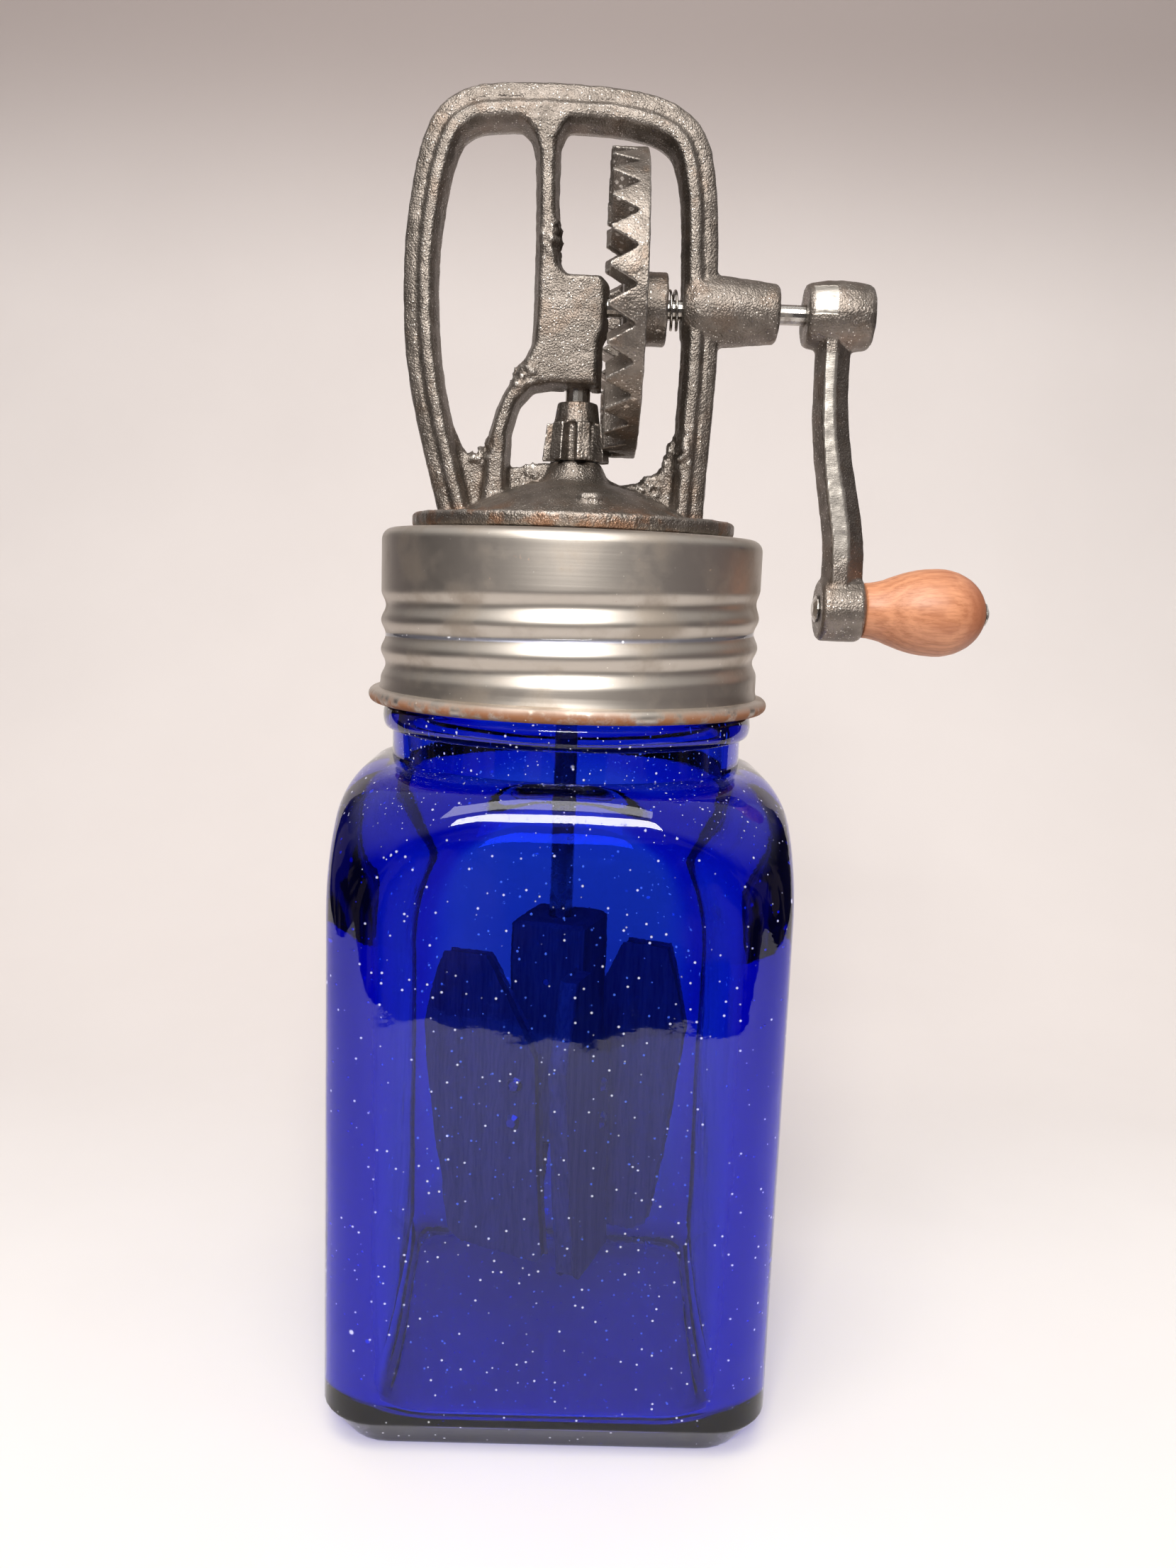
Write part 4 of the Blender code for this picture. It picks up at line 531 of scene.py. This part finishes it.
shadow_ray = add_node(tree, "ShaderNodeLightPath").outputs["Is Shadow Ray"]
let_through = add_node(tree, "ShaderNodeBsdfTransparent", {"Color": (0.40, 0.46, 0.74, 1.0)})
surface = add_node(tree, "ShaderNodeMixShader", {0: shadow_ray, 1: shader.outputs["BSDF"],
                                                 2: let_through.outputs["BSDF"]})
tree.links.new(surface.outputs["Shader"], tree.nodes["Material Output"].inputs["Surface"])
print("glass absorbs all but blue")

# %% [markdown]
# ## Wood and rubber
#
# Wood has long fibres and growth rings. The rings are a wave pattern round an axis that is bent by noise,
# and the fibres are noise that is stretched along the grain. The group takes the grain's direction as its
# place input, so that each piece can turn it.

# %% Wood grain group
wood_grain = bpy.data.node_groups.new("wood_grain", "ShaderNodeTree")
wood_grain.interface.new_socket("Place", in_out="INPUT", socket_type="NodeSocketVector")
for socket, value in (("Ring width", 0.004), ("Fibre width", 0.0006)):
    made = wood_grain.interface.new_socket(socket, in_out="INPUT", socket_type="NodeSocketFloat")
    made.default_value = value
for socket in ("Rings", "Fibres", "Height"):
    wood_grain.interface.new_socket(socket, in_out="OUTPUT", socket_type="NodeSocketFloat")
entry = wood_grain.nodes.new("NodeGroupInput")
result = wood_grain.nodes.new("NodeGroupOutput")
stretched = add_node(wood_grain, "ShaderNodeMapping",
                     {"Vector": entry.outputs["Place"], "Scale": (0.09, 1.0, 1.0)})
ring_rate = calculate(wood_grain, "DIVIDE", 0.314, entry.outputs["Ring width"])
fibre_rate = calculate(wood_grain, "DIVIDE", 1.0, entry.outputs["Fibre width"])
rings = add_node(wood_grain, "ShaderNodeTexWave",
                 {"Vector": stretched.outputs[0], "Scale": ring_rate, "Distortion": 2.2, "Detail": 2.0,
                  "Detail Scale": 1.6}, wave_type="RINGS", rings_direction="X")
fibres = add_node(wood_grain, "ShaderNodeTexNoise",
                  {"Vector": stretched.outputs[0], "Scale": fibre_rate, "Detail": 3.0, "Roughness": 0.65})
depth = calculate(wood_grain, "ADD", fibres.outputs["Fac"],
                  calculate(wood_grain, "MULTIPLY", rings.outputs["Fac"], 0.3))
wood_grain.links.new(rings.outputs["Fac"], result.inputs["Rings"])
wood_grain.links.new(fibres.outputs["Fac"], result.inputs["Fibres"])
wood_grain.links.new(depth, result.inputs["Height"])
print("group:", wood_grain.name)

# %% Handle wood, dasher wood and rubber
HANDLE_LOW, HANDLE_HIGH = (corner.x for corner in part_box("wooden_handle"))
GRIP_HEIGHT = 0.5 * sum(corner.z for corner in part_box("wooden_handle"))
PITH_BEHIND = 0.045


def wood_finish(name, pale, dark, turn, shift, roughness, ring_width):
    material, tree, shader = new_material(name)
    place = object_place(tree)
    grain_way = add_node(tree, "ShaderNodeMapping", {"Vector": place, "Rotation": turn, "Location": shift})
    grain = use_group(tree, wood_grain, ring_width=ring_width, fibre_width=0.0007)
    tree.links.new(grain_way.outputs[0], grain.inputs["Place"])
    tone = calculate(tree, "MULTIPLY", smooth_step(tree, grain.outputs["Fibres"], 0.38, 0.68), 0.55)
    tone = calculate(tree, "ADD", tone, calculate(tree, "MULTIPLY", grain.outputs["Rings"], 0.35))
    colour = blend_colours(tree, tone, pale, dark)
    tree.links.new(colour, shader.inputs["Base Color"])
    shader.inputs["Roughness"].default_value = roughness
    bump = add_node(tree, "ShaderNodeBump", {"Strength": 0.35, "Distance": 0.00012,
                                             "Height": grain.outputs["Height"]})
    tree.links.new(bump.outputs["Normal"], shader.inputs["Normal"])
    return material, tree, shader, colour


handle_wood, tree, shader, colour = wood_finish(
    "handle_wood", (0.70, 0.315, 0.165), (0.44, 0.165, 0.075),
    (0.0, 0.0, 0.0), (0.0, -PITH_BEHIND, -GRIP_HEIGHT), 0.42, 0.0019)
# The grip's wood is made darker towards its tip, first in soft blots and then wholly near the end.
along = add_node(tree, "ShaderNodeSeparateXYZ",
                 {"Vector": object_place(tree)}).outputs["X"]
towards_tip = smooth_step(tree, along, HANDLE_LOW + 0.35 * (HANDLE_HIGH - HANDLE_LOW), HANDLE_HIGH)
blots_towards_tip = use_group(tree, patches, size=0.011, level=0.44, softness=0.14, seed=1.0)
darkening = calculate(tree, "MULTIPLY", towards_tip, blots_towards_tip.outputs["Mask"])
tip = smooth_step(tree, along, HANDLE_LOW + 0.66 * (HANDLE_HIGH - HANDLE_LOW), HANDLE_HIGH - 0.003)
darkening = calculate(tree, "MAXIMUM", darkening, tip)
tree.links.new(blend_colours(tree, calculate(tree, "MULTIPLY", darkening, 0.75), colour, (0.33, 0.105, 0.05)),
               shader.inputs["Base Color"])

# The dasher's wood is dark old wood, made darker still as painted shade for the shadow it stands in inside
# the jar.
dasher_wood = wood_finish("dasher_wood", (0.26, 0.20, 0.145), (0.15, 0.105, 0.07),
                          (0.0, 0.5 * math.pi, 0.0), (0.0, 0.0, 0.0), 0.75, 0.005)[0]

rubber, tree, shader = new_material("grey_rubber")
fading = use_group(tree, patches, size=0.008, level=0.4, softness=0.3, seed=9.0)
tree.links.new(blend_colours(tree, fading.outputs["Mask"], (0.22, 0.19, 0.17), (0.36, 0.32, 0.28)),
               shader.inputs["Base Color"])
shader.inputs["Roughness"].default_value = 0.8
print("wood and rubber are ready")

# %% [markdown]
# ## Making shapes by hand
#
# Round pieces are drawn as a profile and spun. The profile starts as a plane that is merged to one point,
# which is then extruded from place to place. Pieces that aren't round, such as the jar, start as a circle
# that is extruded ring by ring, and each new ring is laid on its own outline.

# %% Helpers for spinning and for walking ring by ring
WELD = 0.000004


def deselect():
    bpy.ops.object.select_all(action="DESELECT")


def finish_piece(piece, body, material, stands_for=(), smooth_deg=40.0):
    """Shade the piece, give it its material and body, and hide the nodes that it stands for."""
    deselect()
    piece.select_set(True)
    bpy.context.view_layer.objects.active = piece
    bpy.ops.object.shade_smooth_by_angle(angle=math.radians(smooth_deg))
    piece.data.materials.clear()
    piece.data.materials.append(material)
    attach(piece, body)
    if stands_for:
        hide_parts(*stands_for)
    return piece


def spun(name, profile, centre, axis, out, steps=64):
    """Spin a profile of (radius, distance along the axis) about an axis through the centre."""
    deselect()
    places = [Vector(centre) + Vector(axis) * along + Vector(out) * radius for radius, along in profile]
    bpy.ops.mesh.primitive_plane_add(size=0.001, location=places[0])
    piece = bpy.context.object
    piece.name = name
    bpy.ops.object.transform_apply(location=True)
    bpy.ops.object.mode_set(mode="EDIT")
    bpy.ops.mesh.merge(type="CENTER")
    for here, there in zip(places, places[1:]):
        bpy.ops.mesh.extrude_region_move(TRANSFORM_OT_translate={"value": there - here})
    bpy.ops.mesh.select_all(action="SELECT")
    bpy.ops.mesh.spin(steps=steps, angle=2.0 * math.pi, center=centre, axis=axis)
    bpy.ops.mesh.select_all(action="SELECT")
    bpy.ops.mesh.remove_doubles(threshold=WELD)
    bpy.ops.mesh.normals_make_consistent(inside=False)
    bpy.ops.object.mode_set(mode="OBJECT")
    return piece


def walked(name, rings, closed=False):
    """Extrude a circle from ring to ring, and put each ring's points in place in order of their angle."""
    deselect()
    bpy.ops.mesh.primitive_circle_add(vertices=len(rings[0]), radius=1.0)
    piece = bpy.context.object
    piece.name = name
    bpy.ops.object.mode_set(mode="EDIT")
    for number, ring in enumerate(rings):
        if number:
            bpy.ops.mesh.extrude_region_move()
        shape = bmesh.from_edit_mesh(piece.data)
        chosen = [corner for corner in shape.verts if corner.select]
        chosen.sort(key=lambda corner: math.atan2(corner.co.y, corner.co.x) % (2.0 * math.pi))
        for corner, place in zip(chosen, ring):
            corner.co = place
        if number == 0 and not closed:
            shape.faces.new(chosen)
            for corner in chosen:
                corner.select = True
            shape.select_flush(False)
        bmesh.update_edit_mesh(piece.data)
    if closed:
        bpy.ops.mesh.select_all(action="DESELECT")
        bpy.ops.mesh.select_non_manifold()
        bpy.ops.mesh.bridge_edge_loops()
    else:
        bpy.ops.mesh.edge_face_add()
    bpy.ops.mesh.select_all(action="SELECT")
    bpy.ops.mesh.normals_make_consistent(inside=False)
    bpy.ops.object.mode_set(mode="OBJECT")
    return piece


print("shape helpers are ready")

# %% [markdown]
# ## The jar
#
# The real jar was pressed and blown in a square mould and keeps the mould's soft form: flat faces, round
# corners, a shoulder that runs in to a round neck, a collar, and a coarse thread. All its sections are
# squares with round corners, and the neck is the same square with its corners grown into a circle. So one
# outline function draws each ring, and the jar is walked from its foot over the lip down to the inner
# floor. It is one closed wall of glass, so light bends in it as it should.

# %% Sizes of the jar, from the frame
FULL_TURN = 2.0 * math.pi
JAR_POINTS = 160
jar_low, jar_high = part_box("glass_jar")
cap_low, cap_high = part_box("screw_cap")
HALF = 0.5 * (jar_high.x - jar_low.x)
CORNER = 0.0145
INNER_CORNER = 0.0220
WALL = 0.0040
FLOOR = 0.0070
HEEL_HEIGHT = 0.0090
HEEL_INSET = 0.0060
SHOULDER_TOP = 0.1695
CORNER_SHOULDER = 0.0325
FACE_SHOULDER = 0.0125
COLLAR = 0.0492
COLLAR_LOW = 0.1771
COLLAR_HIGH = 0.1836
NECK = 0.04665
FINISH = 0.0476
MOUTH = 0.04265
LIP = jar_high.z
THREAD_PITCH = 0.0076
THREAD_START = 0.1935
THREAD_OUT = 0.0014
THREAD_HALF = 0.0024
JAR_ANGLES = [FULL_TURN * (k + 0.5) / JAR_POINTS for k in range(JAR_POINTS)]
print("jar is", round(2.0 * HALF * 1000.0), "mm wide and", round(LIP * 1000.0), "mm high")

# %% Outlines of the jar


def square_reach(half, corner, angle):
    """Distance from the middle to a square with round corners, in one direction."""
    within = angle % (0.5 * math.pi)
    along, across = math.cos(within), math.sin(within)
    flat = half - corner
    if flat * max(along, across) >= half * min(along, across):
        return half / max(along, across)
    lean = flat * (along + across)
    return lean + math.sqrt(max(0.0, lean * lean - 2.0 * flat * flat + corner * corner))


def jar_ring(half, corner, z, extra=None):
    """One ring. The extra is a function of angle and height that moves a point in or out."""
    ring = []
    for angle in JAR_ANGLES:
        reach = square_reach(half, corner, angle) + (extra(angle, z) if extra else 0.0)
        ring.append(Vector((reach * math.cos(angle), reach * math.sin(angle), z)))
    return ring


def shoulder(half, corner, neck, top, count, extra=None):
    """Rings that draw the square in to the neck: corners start low, the faces only near the top."""
    root2 = math.sqrt(2.0)
    diagonal = (half - corner) * root2 + corner
    rings = []
    for step in range(count + 1):
        z = top - CORNER_SHOULDER * (1.0 - math.sin(0.5 * math.pi * step / count))
        corner_share = 1.0 - (top - z) / CORNER_SHOULDER
        face_share = max(0.0, 1.0 - (top - z) / FACE_SHOULDER)
        reach = neck + (diagonal - neck) * math.sqrt(max(0.0, 1.0 - corner_share * corner_share))
        face = neck + (half - neck) * math.sqrt(max(0.0, 1.0 - face_share * face_share))
        radius = min(face, (root2 * face - reach) / (root2 - 1.0))
        rings.append(jar_ring(face, radius, z, extra))
    return rings


def uneven_wall(angle, z):
    """The inside of blown glass is never quite even: three slow waves, none deeper than 0.4 mm."""
    waves = math.sin(2.0 * angle + 40.0 * z) + 0.7 * math.sin(3.0 * angle - 75.0 * z + 1.0)
    return 0.00017 * (waves + 0.6 * math.sin(5.0 * angle + 120.0 * z + 2.0))


def thread_rise(angle, z):
    """Height of the jar's thread. The ridge climbs one pitch a turn, for one turn and a half."""
    rise = 0.0
    for lap in range(-1, 3):
        climbed = angle / FULL_TURN + lap
        if 0.0 <= climbed <= 1.5:
            fade = min(1.0, climbed / 0.14, (1.5 - climbed) / 0.14)
            away = abs(z - (THREAD_START + THREAD_PITCH * (climbed + 0.5)))
            if away < THREAD_HALF:
                rise = max(rise, fade * THREAD_OUT * 0.5 * (1.0 + math.cos(math.pi * away / THREAD_HALF)))
    return rise


print("thread of the jar climbs from", THREAD_START + 0.5 * THREAD_PITCH)

# %% Walk the jar
HEEL_SHARES = (
    (1.0, 0.0), (0.90, 0.06), (0.80, 0.17), (0.5, 0.48), (0.14, 0.86), (0.05, 0.94), (0.0, 1.0), (0.0, 1.04),
)
foot = HALF - HEEL_INSET
foot_corner = CORNER - 0.5 * HEEL_INSET
outside = [jar_ring(share * foot, share * foot_corner, 0.0014) for share in (0.10, 0.5, 0.86)]
outside += [jar_ring(0.90 * foot, 0.90 * foot_corner, 0.0009), jar_ring(0.94 * foot, foot_corner, 0.0001)]
for inset_share, height_share in HEEL_SHARES:
    swing = HEEL_INSET * inset_share
    outside.append(jar_ring(HALF - swing, CORNER - 0.5 * swing, HEEL_HEIGHT * height_share))
outside.append(jar_ring(HALF, CORNER, HEEL_HEIGHT + 0.0015))
BODY_STEPS = 12
body_low, body_high = HEEL_HEIGHT + 0.0015, SHOULDER_TOP - CORNER_SHOULDER
for step in range(1, BODY_STEPS):
    outside.append(jar_ring(HALF, CORNER, body_low + (body_high - body_low) * step / BODY_STEPS))
outside += shoulder(HALF, CORNER, NECK, SHOULDER_TOP, 22)
outside += [jar_ring(NECK, NECK, z) for z in (SHOULDER_TOP + 0.002, COLLAR_LOW - 0.001, COLLAR_LOW - 0.0003)]
for degrees in range(-90, 91, 30):
    swell = math.radians(degrees)
    middle = 0.5 * (COLLAR_HIGH - COLLAR_LOW)
    bulge = COLLAR - 0.0012 + 0.0012 * math.cos(swell)
    outside.append(jar_ring(bulge, bulge, COLLAR_LOW + middle + (middle - 0.0002) * math.sin(swell)))
outside.append(jar_ring(FINISH + 0.0004, FINISH + 0.0004, COLLAR_HIGH))
outside.append(jar_ring(FINISH, FINISH, COLLAR_HIGH + 0.0006))
THREAD_RINGS = 56
thread_low, thread_high = COLLAR_HIGH + 0.0012, LIP - 0.0022
for step in range(THREAD_RINGS + 1):
    z = thread_low + (thread_high - thread_low) * step / THREAD_RINGS
    outside.append(jar_ring(FINISH, FINISH, z, thread_rise))
for degrees in (20, 45, 70, 90):
    swell = math.radians(degrees)
    lip = FINISH - 0.0016 * (1.0 - math.cos(swell))
    outside.append(jar_ring(lip, lip, LIP - 0.0016 * (1.0 - math.sin(swell))))

room = HALF - WALL
inside = []
for share in (0.10, 0.45, 0.8):
    inside.append(jar_ring(share * (room - 0.006), share * INNER_CORNER, FLOOR + 0.0012 * (1.0 - share)))
for step in range(7):
    turn = 0.5 * math.pi * step / 6.0
    inside.append(jar_ring(room - 0.006 * (1.0 - math.sin(turn)), INNER_CORNER,
                           FLOOR + 0.006 * (1.0 - math.cos(turn)), uneven_wall if step > 2 else None))
for step in range(1, 22):
    z = FLOOR + 0.006 + (body_high - FLOOR - 0.006) * step / 22.0
    inside.append(jar_ring(room, INNER_CORNER, z, uneven_wall))
inside += shoulder(room, INNER_CORNER, MOUTH, SHOULDER_TOP - WALL, 22)
for z in (SHOULDER_TOP, COLLAR_LOW, COLLAR_HIGH, LIP - 0.004, LIP - 0.0012):
    inside.append(jar_ring(MOUTH, MOUTH, z))
inside.append(jar_ring(MOUTH + 0.0004, MOUTH + 0.0004, LIP - 0.0004))
inside.append(jar_ring(MOUTH + 0.0014, MOUTH + 0.0014, LIP))

jar = walked("pressed_glass", outside + inside[::-1])
finish_piece(jar, "jar", glass, ["glass_jar"], 60.0)
print("jar rings:", len(outside) + len(inside))

# %% [markdown]
# ## The screw cap
#
# A press stamped the cap from thin tinned sheet, a roller turned the thread into its wall, and its rim was
# curled outwards. The thread is a groove on the outside and a rib on the inside, so both sides of the
# sheet follow the same function. It is walked like the jar and closed by bridging the first ring and the
# last one, round the hole for the dasher's rod.

# %% Walk the cap
CAP_POINTS = 192
CAP_RADIUS = 0.0500
SHEET = 0.0005
CAP_CORNER = 0.0030
BEAD = 0.0019
BEAD_CENTRE = 0.0512
SHAFT_HOLE = 0.0036
GROOVE_DEPTH = 0.0012
CAP_ANGLES = [FULL_TURN * (k + 0.5) / CAP_POINTS for k in range(CAP_POINTS)]


def groove(angle, z):
    """Depth of the rolled thread. It climbs one pitch a turn, and fades out at both ends."""
    deepest = 0.0
    for lap in range(-1, 4):
        climbed = angle / FULL_TURN + lap
        if 0.34 <= climbed <= 3.08:
            fade = min(1.0, (climbed - 0.34) / 0.14, (3.08 - climbed) / 0.14)
            away = abs(z - (THREAD_START + THREAD_PITCH * (climbed - 0.5)))
            if away < 0.5 * THREAD_PITCH:
                depth = GROOVE_DEPTH * 0.5 * (1.0 + math.cos(FULL_TURN * away / THREAD_PITCH))
                deepest = max(deepest, fade * depth)
    return deepest


def cap_ring(radius, z, threaded=False):
    ring = []
    for angle in CAP_ANGLES:
        reach = radius - (groove(angle, z) if threaded else 0.0)
        ring.append(Vector((reach * math.cos(angle), reach * math.sin(angle), z)))
    return ring


rim_top = cap_low.z + 2.0 * BEAD
wall_top = cap_high.z - CAP_CORNER
cap_rings = [cap_ring(radius, cap_high.z) for radius in (SHAFT_HOLE, 0.020, 0.040)]
for step in range(9):
    turn = 0.5 * math.pi * step / 8.0
    cap_rings.append(cap_ring(CAP_RADIUS - CAP_CORNER * (1.0 - math.sin(turn)),
                              cap_high.z - CAP_CORNER * (1.0 - math.cos(turn))))
WALL_RINGS = 64
for step in range(1, WALL_RINGS):
    z = wall_top + (rim_top + 0.0012 - wall_top) * step / WALL_RINGS
    cap_rings.append(cap_ring(CAP_RADIUS, z, True))
cap_rings.append(cap_ring(CAP_RADIUS + 0.0003, rim_top))
for degrees in range(60, -171, -20):
    turn = math.radians(degrees)
    cap_rings.append(cap_ring(BEAD_CENTRE + BEAD * math.cos(turn), cap_low.z + BEAD * (1.0 + math.sin(turn))))
cap_rings.append(cap_ring(CAP_RADIUS - SHEET + 0.0001, cap_low.z + 1.3 * BEAD))
for step in range(WALL_RINGS + 1):
    z = rim_top + 0.0012 + (wall_top - rim_top - 0.0012) * step / WALL_RINGS
    cap_rings.append(cap_ring(CAP_RADIUS - SHEET, z, True))
inner_corner = CAP_CORNER - SHEET
for step in range(1, 7):
    turn = 0.5 * math.pi * (1.0 - step / 6.0)
    cap_rings.append(cap_ring(CAP_RADIUS - SHEET - inner_corner * (1.0 - math.sin(turn)),
                              cap_high.z - SHEET - inner_corner * (1.0 - math.cos(turn))))
cap_rings += [cap_ring(radius, cap_high.z - SHEET) for radius in (0.020, SHAFT_HOLE)]
cap = walked("rolled_cap", cap_rings, closed=True)
finish_piece(cap, "head", tin, ["screw_cap"], 50.0)
print("cap rings:", len(cap_rings))

# %% [markdown]
# ## The castings
#
# Sand leaves its mark on iron in two ways. The mould's sand gives a rough skin, and the corners of the
# pattern come out soft, with small lumps where the mould broke a little. The frame's solid already has
# the right form, so a copy of it is remeshed finely, which rounds its edges, then smoothed and pushed in
# and out by slow noise. The skin's finer roughness stays with the material. At a few places on the casting
# the noise is coarser and only pushes out, which makes lumps of flash.

# %% Casting helper
FLASH_HEIGHT = 0.0024
FLASH_PLACES = (
    (-0.0251, 0.2495, 0.0050), (-0.0125, 0.2447, 0.0045), (0.0246, 0.2500, 0.0065), (0.0191, 0.2418, 0.0050),
    (-0.0062, 0.3020, 0.0055), (-0.0144, 0.2687, 0.0045),
)


def copied_solid(name, node):
    """A copy of a node with one mesh of its own, its split edges welded."""
    deselect()
    source = nodes[node]
    source.select_set(True)
    bpy.context.view_layer.objects.active = source
    bpy.ops.object.duplicate()
    piece = bpy.context.object
    piece.name = name
    bpy.ops.object.mode_set(mode="EDIT")
    bpy.ops.mesh.select_all(action="SELECT")
    bpy.ops.mesh.remove_doubles(threshold=WELD)
    bpy.ops.mesh.normals_make_consistent(inside=False)
    bpy.ops.object.mode_set(mode="OBJECT")
    return piece


def mark_flash(piece, places):
    """A vertex group that fades out round each place (x, z, reach), seen from the front."""
    group = piece.vertex_groups.new(name="flash")
    for corner in piece.data.vertices:
        shares = [1.0 - math.hypot(corner.co.x - x, corner.co.z - z) / reach for x, z, reach in places]
        if max(shares) > 0.0:
            group.add([corner.index], min(1.0, 2.0 * max(shares)), "REPLACE")


def sand_cast(name, node, voxel, lump_size, lump_depth, rounds=4, flash=()):
    piece = copied_solid(name, node)
    remesh = piece.modifiers.new("remesh", "REMESH")
    remesh.mode = "VOXEL"
    remesh.voxel_size = voxel
    soften = piece.modifiers.new("soften", "SMOOTH")
    soften.factor = 0.5
    soften.iterations = rounds
    clouds = bpy.data.textures.new(name + "_lumps", "CLOUDS")
    clouds.noise_scale = lump_size
    clouds.noise_depth = 2
    push = piece.modifiers.new("push", "DISPLACE")
    push.texture = clouds
    push.texture_coords = "LOCAL"
    push.mid_level = 0.5
    push.strength = lump_depth
    for modifier in ("remesh", "soften", "push"):
        bpy.ops.object.modifier_apply(modifier=modifier)
    if flash:
        mark_flash(piece, flash)
        crumbs = bpy.data.textures.new(name + "_flash", "CLOUDS")
        crumbs.noise_scale = 0.0016
        crumbs.noise_depth = 1
        ragged = piece.modifiers.new("ragged", "DISPLACE")
        ragged.texture = crumbs
        ragged.texture_coords = "LOCAL"
        ragged.mid_level = 0.35
        ragged.strength = FLASH_HEIGHT
        ragged.vertex_group = "flash"
        bpy.ops.object.modifier_apply(modifier="ragged")
    return piece


casting = sand_cast("sand_cast_frame", "cast_frame", 0.0006, 0.0030, 0.0004, rounds=3, flash=FLASH_PLACES)
finish_piece(casting, "head", iron, ["cast_frame"], 180.0)
crank = sand_cast("sand_cast_crank", "crank_arm", 0.0005, 0.0035, 0.0003, rounds=2)
finish_piece(crank, "crank", ground_iron, ["crank_arm"], 180.0)
crown = sand_cast("sand_cast_gear", "crown_gear", 0.0004, 0.0030, 0.0003, rounds=2)
finish_piece(crown, "crank", gear_iron, ["crown_gear"], 180.0)
small_gear = sand_cast("sand_cast_pinion", "pinion", 0.0003, 0.0025, 0.0002, rounds=2)
finish_piece(small_gear, "dasher", gear_iron, ["pinion"], 180.0)
print("casting faces:", len(casting.data.polygons), len(crank.data.polygons), len(crown.data.polygons))

# %% [markdown]
# ## The turned grip
#
# The grip was turned on a lathe from one piece of hardwood, and is worn smooth. Its profile is a short
# list of shares of length and radius, and it's spun about the rivet's axis.

# %% Grip
grip_low, grip_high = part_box("wooden_handle")
GRIP_LENGTH = grip_high.x - grip_low.x
GRIP_RADIUS = 0.5 * (grip_high.z - grip_low.z)
GRIP_AXIS_Z = 0.5 * (grip_high.z + grip_low.z)
RIVET_HOLE = 0.0023
GRIP_SHARES = (
    (0.60, 0.0), (0.625, 0.012), (0.632, 0.05), (0.66, 0.10), (0.70, 0.16), (0.76, 0.21), (0.82, 0.27),
    (0.87, 0.32), (0.91, 0.37), (0.95, 0.43), (0.98, 0.50), (1.0, 0.60), (0.995, 0.66), (0.97, 0.71),
    (0.925, 0.77), (0.86, 0.82), (0.79, 0.865), (0.70, 0.905), (0.60, 0.94), (0.50, 0.965), (0.40, 0.985),
    (0.30, 1.0),
)
profile = [(RIVET_HOLE, 0.0)]
profile += [(radius * GRIP_RADIUS, along * GRIP_LENGTH) for radius, along in GRIP_SHARES]
profile += [(RIVET_HOLE, GRIP_LENGTH), (RIVET_HOLE, 0.0)]
grip = spun("turned_grip", profile, (grip_low.x, 0.0, GRIP_AXIS_Z), (1, 0, 0), (0, 0, 1), 72)
finish_piece(grip, "handle", handle_wood, ["wooden_handle"], 60.0)
print("grip is", round(GRIP_LENGTH * 1000.0, 1), "mm long")

# %% [markdown]
# ## The spring
#
# A short coil of thin bright wire keeps the gear in mesh. A small circle, drawn where the wire starts and
# facing along it, is turned about the crank's axis by a Screw modifier, which also carries it along the axis.

# %% Spring
spring_low, spring_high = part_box("thrust_spring")
SPRING_AXIS_Z = 0.5 * (spring_low.z + spring_high.z)
WIRE_RADIUS = 0.00034
COIL_RADIUS = 0.5 * (spring_high.z - spring_low.z) - 0.0004
COIL_TURNS = 1.75
deselect()
bpy.ops.mesh.primitive_circle_add(vertices=12, radius=WIRE_RADIUS, fill_type="NGON",
                                  location=(spring_low.x + 0.0004, 0.0, SPRING_AXIS_Z))
coil = bpy.context.object
coil.name = "coiled_wire"
bpy.ops.object.mode_set(mode="EDIT")
bpy.ops.transform.rotate(value=0.5 * math.pi, orient_axis="X", center_override=coil.location)
bpy.ops.transform.translate(value=(0.0, 0.0, COIL_RADIUS))
bpy.ops.object.mode_set(mode="OBJECT")
winding = coil.modifiers.new("winding", "SCREW")
winding.axis = "X"
winding.angle = COIL_TURNS * 2.0 * math.pi
winding.screw_offset = spring_high.x - spring_low.x - 0.0008
winding.steps = 72
winding.render_steps = 72
bpy.ops.object.modifier_apply(modifier="winding")
bpy.ops.object.transform_apply(location=True)
bpy.ops.object.mode_set(mode="EDIT")
bpy.ops.mesh.select_all(action="SELECT")
bpy.ops.mesh.normals_make_consistent(inside=False)
bpy.ops.object.mode_set(mode="OBJECT")
finish_piece(coil, "crank", steel, ["thrust_spring"], 60.0)
print("coil of", COIL_TURNS, "turns, faces:", len(coil.data.polygons))

# %% [markdown]
# ## Pieces that stay as they are
#
# Pins, shafts, screws, the gasket and the dasher's boards already have their true shape in the frame, so
# they only take a finish.

# %% Finishes for the carried-over nodes


def dress(names, material):
    for name in names:
        node = nodes[name]
        for slot in node.material_slots:
            slot.material = material
    return len(names)


PADDLES = [f"paddle_{number}" for number in (1, 2, 3, 4)]
PADDLE_SCREWS = [f"paddle_screw_{number}" for number in range(1, 9)]
CAP_SCREWS = [f"cap_screw_{number}" for number in (1, 2, 3)]
SHAFTS = ["crank_shaft", "dasher_shaft"]
PINS = ["gear_pin", "crank_pin", "handle_rivet", "pinion_pin", "dasher_pin"]
dressed = dress(["dasher_block"] + PADDLES, dasher_wood)
dressed += dress(["cap_gasket"], rubber)
dressed += dress(CAP_SCREWS + PADDLE_SCREWS, steel)
dressed += dress(SHAFTS + PINS, steel)
print("dressed nodes:", dressed)
